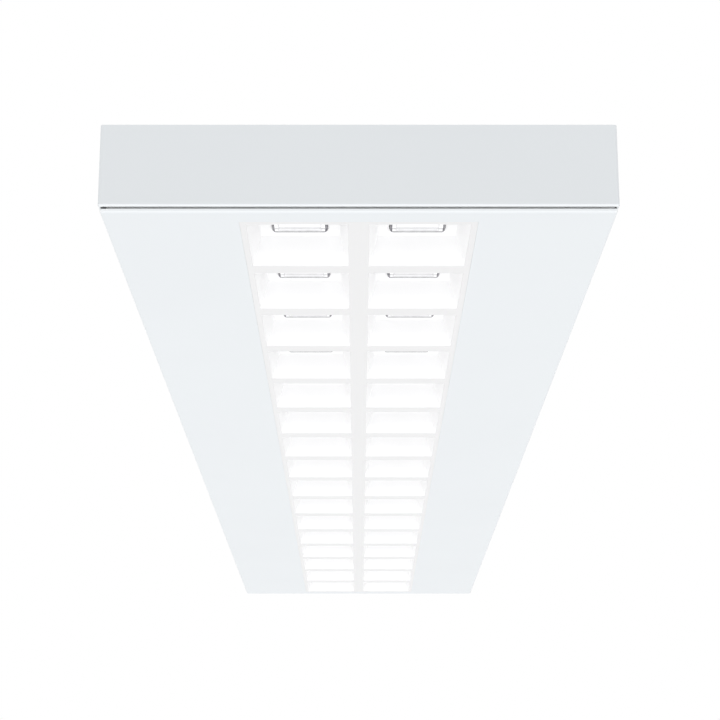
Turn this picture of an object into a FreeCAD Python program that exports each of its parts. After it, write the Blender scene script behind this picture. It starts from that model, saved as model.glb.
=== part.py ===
"""Surface mounted office luminaire with a swinging louvre cover. Millimetres, +Z up.

The origin is the middle of the face that lies on the ceiling. X runs across the luminaire,
Y along it, and the body hangs below Z = 0. The cover swings down about its left long edge.
"""
import FreeCAD, Part
import math
import os

from FreeCAD import Vector

# Body
WIDTH = 300.0
LENGTH = 1200.0
HEIGHT = 54.0
END_MARGIN = 18.5            # end of the body to the first louvre mouth
CORNER_RADIUS = 1.8          # upright corners, seen from below

# Louvre grid
MODULE_COUNT = 4
ROWS_PER_MODULE = 4
CELL_COLUMNS = 2
CELL_PITCH_X = 72.2
MOUTH_X = 60.0
BLADE_WIDTH = 11.1           # rib between two mouths, along the luminaire
CELL_DEPTH = 18.0
CELL_INSET = 5.6             # how far each cell wall leans in between mouth and ceiling
LOUVRE_WALL = 1.5
LOUVRE_BORDER = 3.6          # rib outside the outermost mouths
LOUVRE_FLANGE = 6.0          # lip that lies on the panel, beyond the cut-out
LOUVRE_FLANGE_THICKNESS = 1.5
LOUVRE_CLEARANCE = 0.1       # louvre to the edge of the panel's cut-out

# Lenses
LENS_SIZE = 34.0
LENS_RADIUS = 2.5
LENS_DROP = 2.0              # how far a lens stands below its cell's ceiling
LENS_CHAMFER = 0.9
LENS_DISH_MARGIN = 4.0       # dish to the lens's edge
LENS_DISH_RADIUS = 2.0
LENS_DISH_DEPTH = 0.5
LENS_WINDOW_CLEARANCE = 0.4
LENS_PLATE_THICKNESS = 1.5
LENS_PLATE_MARGIN = 6.0      # plate beyond the lenses, and short of the module's seam
LED_POCKET_RADIUS = 3.2

# Circuit boards and their carrier
BOARD_THICKNESS = 1.6
BOARD_GAP = 2.0              # between two boards, end to end
LED_SIZE = 3.0
LED_HEIGHT = 0.9
CARRIER_SHEET = 1.2
CARRIER_SIDE_GAP = 0.9       # louvre flange to the carrier's upright side
CARRIER_FLANGE = 13.0
CARRIER_OVERHANG = 1.8       # carrier beyond the end of the louvre
LINK_SIZE_X = 30.0
LINK_CLEARANCE = 1.0         # link to the lens plates beside it
LINK_HEIGHT = 2.5
BOARD_SCREW_RADIUS = 1.5
BOARD_SCREW_HEAD_RADIUS = 2.6
BOARD_SCREW_HEAD_HEIGHT = 1.8
BOARD_SCREW_TIP = 1.0        # screw beyond the carrier
CARRIER_STUD_RADIUS = 2.0
CARRIER_STUD_END_DISTANCE = 60.0
CARRIER_STUDS_PER_SIDE = 5
CARRIER_STUD_TIP = 1.0       # stud beyond its nut
NUT_ACROSS_FLATS = 7.0
NUT_HEIGHT = 3.2
HOLE_CLEARANCE = 0.2
THREAD_CLEARANCE = 0.05

# Cover panel
PANEL_SHEET = 0.8
PANEL_INSET = 1.0            # panel's rim behind the housing's outer faces
PANEL_RIM = 2.0              # height of the turned up rim
PANEL_EDGE_RADIUS = 1.4      # outside of the folded edge
SHADOW_GAP = 1.5             # rim to the housing above it

# Housing
BACK_PLATE_THICKNESS = 1.0
BACK_PLATE_CLEARANCE = 0.2
RAIL_WALL = 1.4
RAIL_LEDGE = 12.0
RAIL_LEDGE_THICKNESS = 1.5
RAIL_RIB_DEPTH = 1.5
RAIL_RIB_LEVEL = 8.0         # below the ceiling
RAIL_RETURN = 4.0            # light-tight lip at the foot of the right rail
RAIL_RETURN_THICKNESS = 1.2
HOUSING_EDGE_CHAMFER = 1.0   # lower outer edges of rails and caps
CAP_THICKNESS = 2.0
CAP_SKIRT_THICKNESS = 1.0
CAP_SKIRT_SETBACK = 3.0      # pocket between the cap's plate and its skirt
CAP_SKIRT_OVERLAP = 1.0      # skirt beside the panel's rim
CAP_SKIRT_RISE = 8.0
CAP_SKIRT_SIDE_GAP = 3.0     # skirt to the left rail, clear of the swinging panel
CAP_SKIRT_CLEARANCE = 0.4    # skirt to the inside of the panel's right rim
CAP_LUG_SIDE_DISTANCE = 50.0
CAP_LUG_WIDTH = 14.0
CAP_LUG_LENGTH = 14.0
CAP_LUG_THICKNESS = 3.0
CAP_SCREW_RADIUS = 1.75
CAP_SCREW_HEAD_RADIUS = 3.2
CAP_SCREW_HEAD_HEIGHT = 2.2
SCREW_TOP_GAP = 0.2          # screw ends below the ceiling face
RIVET_RADIUS = 1.6
RIVET_HEAD_RADIUS = 3.2
RIVET_HEAD_HEIGHT = 1.2
RIVET_END_DISTANCE = 40.0
RIVETS_PER_SIDE = 5

# Ceiling fixing and cable entry
SLOT_SIDE_DISTANCE = 60.0    # slots from the sides
SLOT_END_DISTANCE = 100.0    # slots from the ends
SLOT_RADIUS = 2.75
SLOT_LENGTH = 14.0
CABLE_OFFSET_X = 50.0        # cable hole from the middle of the mains terminal
CABLE_OFFSET_Y = 30.0        # cable hole from the rear of the mains terminal
CABLE_BORE_RADIUS = 5.25
GROMMET_NECK_WALL = 2.75
GROMMET_FLANGE_REACH = 2.5   # flange beyond the neck
GROMMET_FLANGE_HEIGHT = 2.0
GROMMET_COLLAR_WALL = 1.95
GROMMET_COLLAR_HEIGHT = 2.0

# Pressed beads and knock-outs of the back plate
BEAD_OFFSET = 30.0           # beads from the middle of the plate
BEAD_END_DISTANCE = 60.0
BEAD_WIDTH = 8.0
BEAD_DEPTH = 0.8
BEAD_WALL = 0.6              # rib beside the bead's groove, below the plate
KNOCKOUT_SIDE_DISTANCE = 90.0
KNOCKOUT_END_DISTANCE = 300.0
KNOCKOUT_RADIUS = 10.0
KNOCKOUT_SLIT = 0.8
KNOCKOUT_BRIDGE = 2.5
KNOCKOUT_BRIDGE_COUNT = 3

# Hinge along the left edge
SWING_CLEARANCE = 0.44       # panel's rim to the housing's lower corner while the cover swings
HINGE_COUNT = 3
HINGE_END_DISTANCE = 100.0
HINGE_WIDTH = 40.0
KNUCKLE_RADIUS = 2.2
KNUCKLE_WALL_GAP = 0.4       # knuckle to the rail's wall
KNUCKLE_LENGTH = 10.0        # each of a bracket's two knuckles
KNUCKLE_GAP = 0.5
PIN_RADIUS = 1.25
PIN_HEAD_REACH = 0.65        # head beyond the pin's side
PIN_HEAD_LENGTH = 1.0
PIN_RUNNING_CLEARANCE = 0.05
PIN_PRESS_CLEARANCE = 0.02
BRACKET_SHEET = 1.5
BRACKET_KNUCKLE_GAP = 1.0    # foot of the bracket's plate above the leaf's knuckle
BRACKET_HEIGHT = 16.8
BRACKET_RIVET_EDGE = 8.0     # rivets from the ends of the bracket
LEAF_ARM_HALF = 1.2
LEAF_CLEARANCE = 0.8         # web of the open leaf to the foot of the rail
LEAF_WEB_THICKNESS = 1.7
LEAF_FOOT_LENGTH = 14.0
LEAF_FOOT_THICKNESS = 1.5

# Snap catches along the right edge
CATCH_INSET = 12.0           # stud from the right outer face
CATCH_END_DISTANCE = 200.0
CATCH_COUNT = 2
CATCH_STUD_RADIUS = 2.0
CATCH_STUD_NECK = 8.4        # neck above the panel's inner face
CATCH_HEAD_RADIUS = 3.2
CATCH_HEAD_HEIGHT = 4.2
CATCH_BASE_RADIUS = 5.0
CATCH_BASE_HEIGHT = 1.2
CATCH_SPRING_SHEET = 0.6
CATCH_SPRING_WIDTH = 8.0
CATCH_SIDE_CLEARANCE = 0.4
CATCH_THROAT_DROP = 1.0      # narrowest place of the spring below the knee of its arms
CATCH_FLANGE_HEIGHT = 14.0
CATCH_RIVET_RADIUS = 1.2

# LED driver in the left bay
DRIVER_SIDE_DISTANCE = 40.0  # middle of the driver from the left side
DRIVER_END_DISTANCE = 240.0  # driver from the front end
DRIVER_LENGTH = 280.0
DRIVER_WIDTH = 30.0
DRIVER_HEIGHT = 21.0
DRIVER_SHEET = 0.8
DRIVER_EDGE_RADIUS = 1.0     # long lower edges of the driver's cover
DRIVER_TAB = 10.0
DRIVER_SCREW_RADIUS = 1.5
DRIVER_SCREW_HEAD_RADIUS = 2.8
DRIVER_SCREW_HEAD_HEIGHT = 2.0
DRIVER_BOARD_LEVEL = 4.0     # top of the driver's board below the back plate
DRIVER_BOARD_THICKNESS = 1.6
DRIVER_BOARD_CLEARANCE = 0.2
DRIVER_TERMINAL_WIDTH = 26.0
DRIVER_TERMINAL_HEIGHT = 11.0
DRIVER_TERMINAL_INSIDE = 12.0
DRIVER_TERMINAL_OUTSIDE = 8.0
DRIVER_TERMINAL_CLEARANCE = 0.2
DRIVER_ENTRY_DEPTH = 6.0
DRIVER_ENTRY_LEVEL = 12.0    # wire entries below the ceiling face

# Mains terminal in the left bay
POLE_COUNT = 5
POLE_PITCH = 5.0
TERMINAL_GAP = 50.0          # mains terminal to the driver's input terminal
TERMINAL_DEPTH = 22.0
TERMINAL_HEIGHT = 16.0
TERMINAL_END_WALL = 3.0
POLE_GROOVE_WIDTH = 0.6      # grooves that part the poles on the terminal's underside
POLE_GROOVE_DEPTH = 0.6
ENTRY_SIZE = 3.6
ENTRY_LEVEL = 8.0            # wire entries below the ceiling face
CONTACT_LENGTH = 10.0
CONTACT_CLEARANCE = 0.1
BUTTON_SIZE_X = 3.4
BUTTON_SIZE_Y = 5.0
BUTTON_INSIDE = 3.0
BUTTON_OUTSIDE = 2.2
BUTTON_TRAVEL = 1.5
BUTTON_CLEARANCE = 0.3
BUTTON_ROUNDING = 0.5
BUTTON_SETBACK = 6.0         # button's middle from the terminal's rear face

# Leads
LEAD_RADIUS = 1.2
LEAD_SAG = 3.6               # slack of the driver's leads below its wire entries
EARTH_OFFSET_X = 40.0        # earth stud from the middle of the mains terminal
EARTH_OFFSET_Y = 28.0        # earth stud from the front of the mains terminal
EARTH_STUD_RADIUS = 2.0
EARTH_STUD_LENGTH = 9.0
EARTH_BASE_RADIUS = 4.0
EARTH_BASE_HEIGHT = 1.0
EARTH_RING_RADIUS = 4.5
EARTH_RING_THICKNESS = 0.8
EARTH_TAB = 3.0              # crimp between the ring and its lead
LED_LEAD_RADIUS = 1.8
LED_LEAD_AXIS_OFFSET = 3.5   # lead from the hinge axis where it twists
LED_LEAD_START = 22.0        # straight run out of the driver
LED_LEAD_DESCENT = 30.0      # run in which the lead goes down to the hinge
LED_LEAD_TWIST = 24.0        # run beside the hinge axis
LED_LEAD_TURN_X = 14.0       # bend from the hinge towards the plug, across
LED_LEAD_TURN_Y = 4.0        # the same bend, short of the plug's middle
LED_LEAD_TURN_RISE = 2.0     # the same bend, above the hinge axis
LED_LEAD_CLIMB_X = 46.0      # foot of the climb over the carrier, from the run beside the hinge
LED_LEAD_CLIMB = 5.0         # height of that climb
LED_LEAD_END = 20.0          # straight run into the plug
LED_PLUG_INSET = 10.0        # middle of the plug from the board's edge
LED_PLUG_REACH = 104.0       # plug from the driver, along the luminaire
LED_PLUG_SIZE_X = 14.0
LED_PLUG_SIZE_Y = 9.0
LED_PLUG_HEIGHT = 9.0        # above the board
LED_PLUG_WINDOW_CLEARANCE = 0.8
LED_PLUG_ENTRY_DEPTH = 5.0
ARC_SHARE = 0.45             # share of a run that a bend takes up

FILLET_SHARE = 0.9           # most of a wall, half width or corner radius that a rounding takes

UP = Vector(0, 0, 1)
ALONG = Vector(0, 1, 0)
ACROSS = Vector(1, 0, 0)

# Sizes worked out from the values above
CELL_ROWS = MODULE_COUNT * ROWS_PER_MODULE
GRID_X = (CELL_COLUMNS - 1) * CELL_PITCH_X + MOUTH_X
GRID_Y = LENGTH - 2 * END_MARGIN
CELL_PITCH_Y = (GRID_Y + BLADE_WIDTH) / CELL_ROWS
MOUTH_Y = CELL_PITCH_Y - BLADE_WIDTH
LOUVRE_X = GRID_X + 2 * LOUVRE_BORDER
LOUVRE_Y = GRID_Y + 2 * LOUVRE_BORDER
MODULE_PITCH = ROWS_PER_MODULE * CELL_PITCH_Y
HALF_WIDTH = WIDTH / 2
HALF_LENGTH = LENGTH / 2

# Levels, from the bottom plane up
BOTTOM = -HEIGHT
PANEL_TOP = BOTTOM + PANEL_SHEET
RIM_TOP = BOTTOM + PANEL_RIM
HOUSING_BOTTOM = RIM_TOP + SHADOW_GAP
LOUVRE_FLANGE_TOP = PANEL_TOP + LOUVRE_FLANGE_THICKNESS
CELL_CEILING = BOTTOM + CELL_DEPTH
LOUVRE_TOP = CELL_CEILING + LOUVRE_WALL
LENS_PLATE_TOP = LOUVRE_TOP + LENS_PLATE_THICKNESS
BOARD_TOP = LENS_PLATE_TOP + BOARD_THICKNESS
CARRIER_TOP = BOARD_TOP + CARRIER_SHEET
LENS_BOTTOM = CELL_CEILING - LENS_DROP
PLATE_UNDERSIDE = -BACK_PLATE_THICKNESS
LEDGE_UNDERSIDE = PLATE_UNDERSIDE - RAIL_LEDGE_THICKNESS

# Places inside the housing
RAIL_INNER = HALF_WIDTH - RAIL_WALL
CAP_INNER = HALF_LENGTH - CAP_THICKNESS
HINGE_INSET = RAIL_WALL + KNUCKLE_WALL_GAP + KNUCKLE_RADIUS
SWING_SPREAD = HINGE_INSET ** 2 + SHADOW_GAP ** 2 - SWING_CLEARANCE ** 2
HINGE_OVER_RIM = SWING_SPREAD / (2 * (SHADOW_GAP - SWING_CLEARANCE))
HINGE_X = -HALF_WIDTH + HINGE_INSET
HINGE_Z = RIM_TOP + HINGE_OVER_RIM
BRACKET_LOW = HINGE_Z + KNUCKLE_RADIUS + BRACKET_KNUCKLE_GAP
BRACKET_HIGH = BRACKET_LOW + BRACKET_HEIGHT
LEAF_WEB_X = HINGE_X + HINGE_Z - HOUSING_BOTTOM + LEAF_CLEARANCE
CARRIER_INNER = LOUVRE_X / 2 + LOUVRE_FLANGE + CARRIER_SIDE_GAP
CARRIER_OUTER = CARRIER_INNER + CARRIER_SHEET
CARRIER_STUD_X = CARRIER_OUTER + (CARRIER_FLANGE - CARRIER_SHEET) / 2
CARRIER_END = LOUVRE_Y / 2 + CARRIER_OVERHANG
BOARD_WIDTH = (CELL_COLUMNS - 1) * CELL_PITCH_X + LENS_SIZE + 2 * LENS_PLATE_MARGIN
RIVET_X = RAIL_INNER - RAIL_LEDGE / 2
CATCH_X = HALF_WIDTH - CATCH_INSET
CAP_LUG_X = HALF_WIDTH - CAP_LUG_SIDE_DISTANCE
SLOT_X = HALF_WIDTH - SLOT_SIDE_DISTANCE
SLOT_Y = HALF_LENGTH - SLOT_END_DISTANCE
DRIVER_X = -HALF_WIDTH + DRIVER_SIDE_DISTANCE
DRIVER_FRONT_Y = -HALF_LENGTH + DRIVER_END_DISTANCE
DRIVER_REAR_Y = DRIVER_FRONT_Y + DRIVER_LENGTH
TERMINAL_FRONT_Y = DRIVER_REAR_Y + DRIVER_TERMINAL_OUTSIDE + TERMINAL_GAP
TERMINAL_REAR_Y = TERMINAL_FRONT_Y + TERMINAL_DEPTH
EARTH_X = DRIVER_X + EARTH_OFFSET_X
EARTH_Y = TERMINAL_FRONT_Y - EARTH_OFFSET_Y
CABLE_X = DRIVER_X + CABLE_OFFSET_X
CABLE_Y = TERMINAL_REAR_Y + CABLE_OFFSET_Y
GROMMET_NECK_RADIUS = CABLE_BORE_RADIUS + GROMMET_NECK_WALL
LED_PLUG_X = -BOARD_WIDTH / 2 + LED_PLUG_INSET
LED_PLUG_Y = DRIVER_FRONT_Y - LED_PLUG_REACH


def block(x0, x1, y0, y1, z0, z1):
    """A box from its two extreme corners."""
    return Part.makeBox(x1 - x0, y1 - y0, z1 - z0, Vector(x0, y0, z0))


def centred_block(x, y, size_x, size_y, z0, z1):
    """A box about the upright line through x and y."""
    return block(x - size_x / 2, x + size_x / 2, y - size_y / 2, y + size_y / 2, z0, z1)


def post(radius, x, y, z0, z1):
    """An upright cylinder."""
    return Part.makeCylinder(radius, z1 - z0, Vector(x, y, z0), UP)


def spaced(count, pitch):
    """Evenly spaced places about zero."""
    return [(index - (count - 1) / 2) * pitch for index in range(count)]


def spread(count, end_distance):
    """Evenly spaced places along the luminaire, the outermost so far from its ends."""
    return spaced(count, (LENGTH - 2 * end_distance) / (count - 1))


def hinge_places():
    """Middles of the hinges along the luminaire."""
    return spread(HINGE_COUNT, HINGE_END_DISTANCE)


def catch_places():
    """Middles of the catches along the luminaire."""
    return spread(CATCH_COUNT, CATCH_END_DISTANCE)


def fuse(shapes):
    """One clean solid from several that touch or overlap."""
    joined = shapes[0]
    if len(shapes) > 1:
        joined = shapes[0].multiFuse(shapes[1:])
    return joined.removeSplitter()


def cut(shape, tools):
    """A shape without the space of the tools."""
    return shape.cut(Part.makeCompound(tools)).removeSplitter()


def polygon_prism(points, direction):
    """A prism swept from a flat polygon."""
    outline = Part.makePolygon(points + [points[0]])
    return Part.Face(outline).extrude(direction)


def rounded_rectangle(x, y, size_x, size_y, radius, z):
    """A flat wire with four round corners."""
    left = x - size_x / 2
    right = x + size_x / 2
    front = y - size_y / 2
    rear = y + size_y / 2
    reach = radius * (1 - math.sqrt(0.5))
    edges = [
        Part.LineSegment(Vector(left + radius, front, z), Vector(right - radius, front, z)),
        Part.Arc(Vector(right - radius, front, z), Vector(right - reach, front + reach, z),
                 Vector(right, front + radius, z)),
        Part.LineSegment(Vector(right, front + radius, z), Vector(right, rear - radius, z)),
        Part.Arc(Vector(right, rear - radius, z), Vector(right - reach, rear - reach, z),
                 Vector(right - radius, rear, z)),
        Part.LineSegment(Vector(right - radius, rear, z), Vector(left + radius, rear, z)),
        Part.Arc(Vector(left + radius, rear, z), Vector(left + reach, rear - reach, z),
                 Vector(left, rear - radius, z)),
        Part.LineSegment(Vector(left, rear - radius, z), Vector(left, front + radius, z)),
        Part.Arc(Vector(left, front + radius, z), Vector(left + reach, front + reach, z),
                 Vector(left + radius, front, z)),
    ]
    return Part.Wire([edge.toShape() for edge in edges])


def rounded_block(x, y, size_x, size_y, radius, z0, z1):
    """An upright prism with four round corners."""
    outline = rounded_rectangle(x, y, size_x, size_y, radius, z0)
    return Part.Face(outline).extrude(Vector(0, 0, z1 - z0))


def frustum(x, y, low_size, high_size, z0, z1):
    """A four-sided block that narrows upwards."""
    wires = []
    for (size_x, size_y), z in ((low_size, z0), (high_size, z1)):
        corners = [
            Vector(x - size_x / 2, y - size_y / 2, z),
            Vector(x + size_x / 2, y - size_y / 2, z),
            Vector(x + size_x / 2, y + size_y / 2, z),
            Vector(x - size_x / 2, y + size_y / 2, z),
        ]
        wires.append(Part.makePolygon(corners + [corners[0]]))
    return Part.makeLoft(wires, True, True)


def hexagon(x, y, across_flats, z0, z1):
    """An upright six-sided prism."""
    reach = across_flats / math.sqrt(3)
    corners = []
    for index in range(6):
        angle = math.radians(60 * index)
        corners.append(Vector(x + reach * math.cos(angle), y + reach * math.sin(angle), z0))
    return polygon_prism(corners, Vector(0, 0, z1 - z0))


def nut(x, y, bore_radius, z0):
    """A hexagon nut that stands on the level z0."""
    body = hexagon(x, y, NUT_ACROSS_FLATS, z0, z0 + NUT_HEIGHT)
    return cut(body, [post(bore_radius, x, y, z0, z0 + NUT_HEIGHT)])


def tube(name, points, radius):
    """A round lead along straight runs joined by tangent arcs."""
    edges = []
    start = points[0]
    least_radius = None
    for before, corner, after in zip(points, points[1:], points[2:]):
        run_in = corner - before
        run_out = after - corner
        reach = ARC_SHARE * min(run_in.Length, run_out.Length)
        turn = run_in.getAngle(run_out)
        bend_radius = reach / math.tan(turn / 2)
        run_in.normalize()
        run_out.normalize()
        first = corner - run_in * reach
        last = corner + run_out * reach
        inward = run_out - run_in
        inward.normalize()
        middle = corner + inward * (math.hypot(reach, bend_radius) - bend_radius)
        edges.append(Part.LineSegment(start, first).toShape())
        edges.append(Part.Arc(first, middle, last).toShape())
        start = last
        least_radius = bend_radius if least_radius is None else min(least_radius, bend_radius)
    edges.append(Part.LineSegment(start, points[-1]).toShape())
    path = Part.Wire(edges)
    first_run = points[1] - points[0]
    profile = Part.Wire([Part.makeCircle(radius, points[0], first_run)])
    solid = path.makePipeShell([profile], True, False)
    ideal = math.pi * radius ** 2 * path.Length
    share = solid.Volume / ideal
    print(f"{name}: length {path.Length:.1f}, least bend {least_radius:.1f}, volume share {share:.4f}")
    return solid


def cell_centres(module):
    """Middles of one louvre module's cells."""
    rows = spaced(CELL_ROWS, CELL_PITCH_Y)[module * ROWS_PER_MODULE:(module + 1) * ROWS_PER_MODULE]
    return [(x, y) for y in rows for x in spaced(CELL_COLUMNS, CELL_PITCH_X)]


def module_centre(module):
    """Middle of one louvre module's cells along the luminaire."""
    return spaced(MODULE_COUNT, MODULE_PITCH)[module]


def module_ends(module, overhang):
    """Front and rear of a module: seams inside, the louvre's edge plus an overhang at the outer ends."""
    front = module_centre(module) - MODULE_PITCH / 2
    rear = module_centre(module) + MODULE_PITCH / 2
    if module == 0:
        front = -LOUVRE_Y / 2 - overhang
    if module == MODULE_COUNT - 1:
        rear = LOUVRE_Y / 2 + overhang
    return front, rear


def board_screw_places(module):
    """Screws between the cells of a module, one row in from each of its ends."""
    reach = (ROWS_PER_MODULE / 2 - 1) * CELL_PITCH_Y
    return [(0.0, module_centre(module) - reach), (0.0, module_centre(module) + reach)]


def carrier_stud_places():
    """Studs along both flanges of the carrier."""
    rows = spread(CARRIER_STUDS_PER_SIDE, CARRIER_STUD_END_DISTANCE)
    return [(side * CARRIER_STUD_X, y) for side in (-1, 1) for y in rows]


def make_louvre(module):
    """One moulded louvre module: tapered cells with thin walls, open ribs and a lip for the panel."""
    front, rear = module_ends(module, 0.0)
    lip_front, lip_rear = module_ends(module, LOUVRE_FLANGE)
    lip_x = LOUVRE_X / 2 + LOUVRE_FLANGE
    face = block(-LOUVRE_X / 2, LOUVRE_X / 2, front, rear, BOTTOM, LOUVRE_FLANGE_TOP)
    lip = block(-lip_x, lip_x, lip_front, lip_rear, PANEL_TOP, LOUVRE_FLANGE_TOP)
    mouth = (MOUTH_X, MOUTH_Y)
    ceiling = (MOUTH_X - 2 * CELL_INSET, MOUTH_Y - 2 * CELL_INSET)
    outer_mouth = (MOUTH_X + 2 * LOUVRE_WALL, MOUTH_Y + 2 * LOUVRE_WALL)
    outer_ceiling = (ceiling[0] + 2 * LOUVRE_WALL, ceiling[1] + 2 * LOUVRE_WALL)
    window = LENS_SIZE + 2 * LENS_WINDOW_CLEARANCE
    window_radius = LENS_RADIUS + LENS_WINDOW_CLEARANCE
    shells = []
    hollows = []
    for x, y in cell_centres(module):
        shells.append(frustum(x, y, outer_mouth, outer_ceiling, BOTTOM, LOUVRE_TOP))
        hollows.append(frustum(x, y, mouth, ceiling, BOTTOM, CELL_CEILING))
        hollows.append(rounded_block(x, y, window, window, window_radius, CELL_CEILING, LOUVRE_TOP))
    return cut(fuse([face, lip] + shells), hollows)


def make_lens():
    """One square lens with a chamfered edge and a shallow dish, about the origin."""
    solid = rounded_block(0, 0, LENS_SIZE, LENS_SIZE, LENS_RADIUS, LENS_BOTTOM, LOUVRE_TOP)
    low_edges = [edge for edge in solid.Edges if edge.BoundBox.ZMax < LENS_BOTTOM + LENS_CHAMFER / 2]
    solid = solid.makeChamfer(LENS_CHAMFER, low_edges)
    dish_size = LENS_SIZE - 2 * LENS_DISH_MARGIN
    dish = rounded_block(0, 0, dish_size, dish_size, LENS_DISH_RADIUS,
                         LENS_BOTTOM, LENS_BOTTOM + LENS_DISH_DEPTH)
    return cut(solid, [dish])


def make_lens_array(module):
    """A clear plate with one lens per cell, and a pocket for each LED."""
    length = MODULE_PITCH - 2 * LENS_PLATE_MARGIN
    plate = centred_block(0, module_centre(module), BOARD_WIDTH, length, LOUVRE_TOP, LENS_PLATE_TOP)
    lens = make_lens()
    lenses = [lens.translated(Vector(x, y, 0)) for x, y in cell_centres(module)]
    pockets = [Part.makeSphere(LED_POCKET_RADIUS, Vector(x, y, LENS_PLATE_TOP))
               for x, y in cell_centres(module)]
    hole = BOARD_SCREW_RADIUS + HOLE_CLEARANCE
    holes = [post(hole, x, y, LOUVRE_TOP, LENS_PLATE_TOP) for x, y in board_screw_places(module)]
    return cut(fuse([plate] + lenses), pockets + holes)


def make_led_board(module):
    """A circuit board that lies between the lens plate and the carrier."""
    length = MODULE_PITCH - BOARD_GAP
    board = centred_block(0, module_centre(module), BOARD_WIDTH, length, LENS_PLATE_TOP, BOARD_TOP)
    hole = BOARD_SCREW_RADIUS + HOLE_CLEARANCE
    return cut(board, [post(hole, x, y, LENS_PLATE_TOP, BOARD_TOP) for x, y in board_screw_places(module)])


def make_led_chips():
    """One LED under the board at the middle of every cell."""
    chips = []
    for module in range(MODULE_COUNT):
        for x, y in cell_centres(module):
            low = LENS_PLATE_TOP - LED_HEIGHT
            chips.append(centred_block(x, y, LED_SIZE, LED_SIZE, low, LENS_PLATE_TOP))
    return Part.makeCompound(chips)


def make_board_links():
    """Bridging connectors under the seams between two boards."""
    seams = spaced(MODULE_COUNT - 1, MODULE_PITCH)
    size_y = 2 * (LENS_PLATE_MARGIN - LINK_CLEARANCE)
    links = [centred_block(0, y, LINK_SIZE_X, size_y, LENS_PLATE_TOP - LINK_HEIGHT, LENS_PLATE_TOP)
             for y in seams]
    return Part.makeCompound(links)


def make_board_screws():
    """Screws that clamp each lens plate and board to the carrier."""
    screws = []
    for module in range(MODULE_COUNT):
        for x, y in board_screw_places(module):
            head = post(BOARD_SCREW_HEAD_RADIUS, x, y, LOUVRE_TOP - BOARD_SCREW_HEAD_HEIGHT, LOUVRE_TOP)
            shank = post(BOARD_SCREW_RADIUS, x, y, LOUVRE_TOP, CARRIER_TOP + BOARD_SCREW_TIP)
            screws.append(fuse([head, shank]))
    return Part.makeCompound(screws)


def make_led_carrier():
    """A sheet tray over the boards, with flanges on the panel."""
    flange_end = CARRIER_OUTER + CARRIER_FLANGE - CARRIER_SHEET
    flange_top = PANEL_TOP + CARRIER_SHEET
    pieces = [block(-CARRIER_OUTER, CARRIER_OUTER, -CARRIER_END, CARRIER_END, BOARD_TOP, CARRIER_TOP)]
    for side in (-1, 1):
        wall_x = sorted((side * CARRIER_INNER, side * CARRIER_OUTER))
        flange_x = sorted((side * CARRIER_INNER, side * flange_end))
        pieces.append(block(wall_x[0], wall_x[1], -CARRIER_END, CARRIER_END, PANEL_TOP, CARRIER_TOP))
        pieces.append(block(flange_x[0], flange_x[1], -CARRIER_END, CARRIER_END, PANEL_TOP, flange_top))
    tools = []
    for x, y in carrier_stud_places():
        tools.append(post(CARRIER_STUD_RADIUS + HOLE_CLEARANCE, x, y, PANEL_TOP, flange_top))
    for module in range(MODULE_COUNT):
        for x, y in board_screw_places(module):
            tools.append(post(BOARD_SCREW_RADIUS + THREAD_CLEARANCE, x, y, BOARD_TOP, CARRIER_TOP))
    window_x = LED_PLUG_SIZE_X + 2 * LED_PLUG_WINDOW_CLEARANCE
    window_y = LED_PLUG_SIZE_Y + 2 * LED_PLUG_WINDOW_CLEARANCE
    tools.append(centred_block(LED_PLUG_X, LED_PLUG_Y, window_x, window_y, BOARD_TOP, CARRIER_TOP))
    return cut(fuse(pieces), tools)


def make_carrier_nuts():
    """Nuts on the panel's studs that press the carrier's flanges down."""
    bore = CARRIER_STUD_RADIUS + THREAD_CLEARANCE
    seat = PANEL_TOP + CARRIER_SHEET
    return Part.makeCompound([nut(x, y, bore, seat) for x, y in carrier_stud_places()])


def make_cover_panel():
    """The bottom sheet with its turned up rim, the louvre's cut-out and the carrier's studs."""
    size_x = WIDTH - 2 * PANEL_INSET
    size_y = LENGTH - 2 * PANEL_INSET
    tray = rounded_block(0, 0, size_x, size_y, CORNER_RADIUS, BOTTOM, RIM_TOP)
    low_edges = [edge for edge in tray.Edges if edge.BoundBox.ZMax < BOTTOM + PANEL_EDGE_RADIUS / 2]
    tray = tray.makeFillet(min(PANEL_EDGE_RADIUS, FILLET_SHARE * CORNER_RADIUS), low_edges)
    inner_radius = CORNER_RADIUS - PANEL_SHEET
    hollow = rounded_block(0, 0, size_x - 2 * PANEL_SHEET, size_y - 2 * PANEL_SHEET,
                           inner_radius, PANEL_TOP, RIM_TOP)
    fold_radius = min(PANEL_EDGE_RADIUS - PANEL_SHEET, FILLET_SHARE * inner_radius)
    fold_edges = [edge for edge in hollow.Edges if edge.BoundBox.ZMax < PANEL_TOP + fold_radius / 2]
    hollow = hollow.makeFillet(fold_radius, fold_edges)
    opening = centred_block(0, 0, LOUVRE_X + 2 * LOUVRE_CLEARANCE, LOUVRE_Y + 2 * LOUVRE_CLEARANCE,
                            BOTTOM, PANEL_TOP)
    stud_top = PANEL_TOP + CARRIER_SHEET + NUT_HEIGHT + CARRIER_STUD_TIP
    studs = [post(CARRIER_STUD_RADIUS, x, y, PANEL_TOP, stud_top) for x, y in carrier_stud_places()]
    return fuse([cut(tray, [hollow, opening])] + studs)


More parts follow.
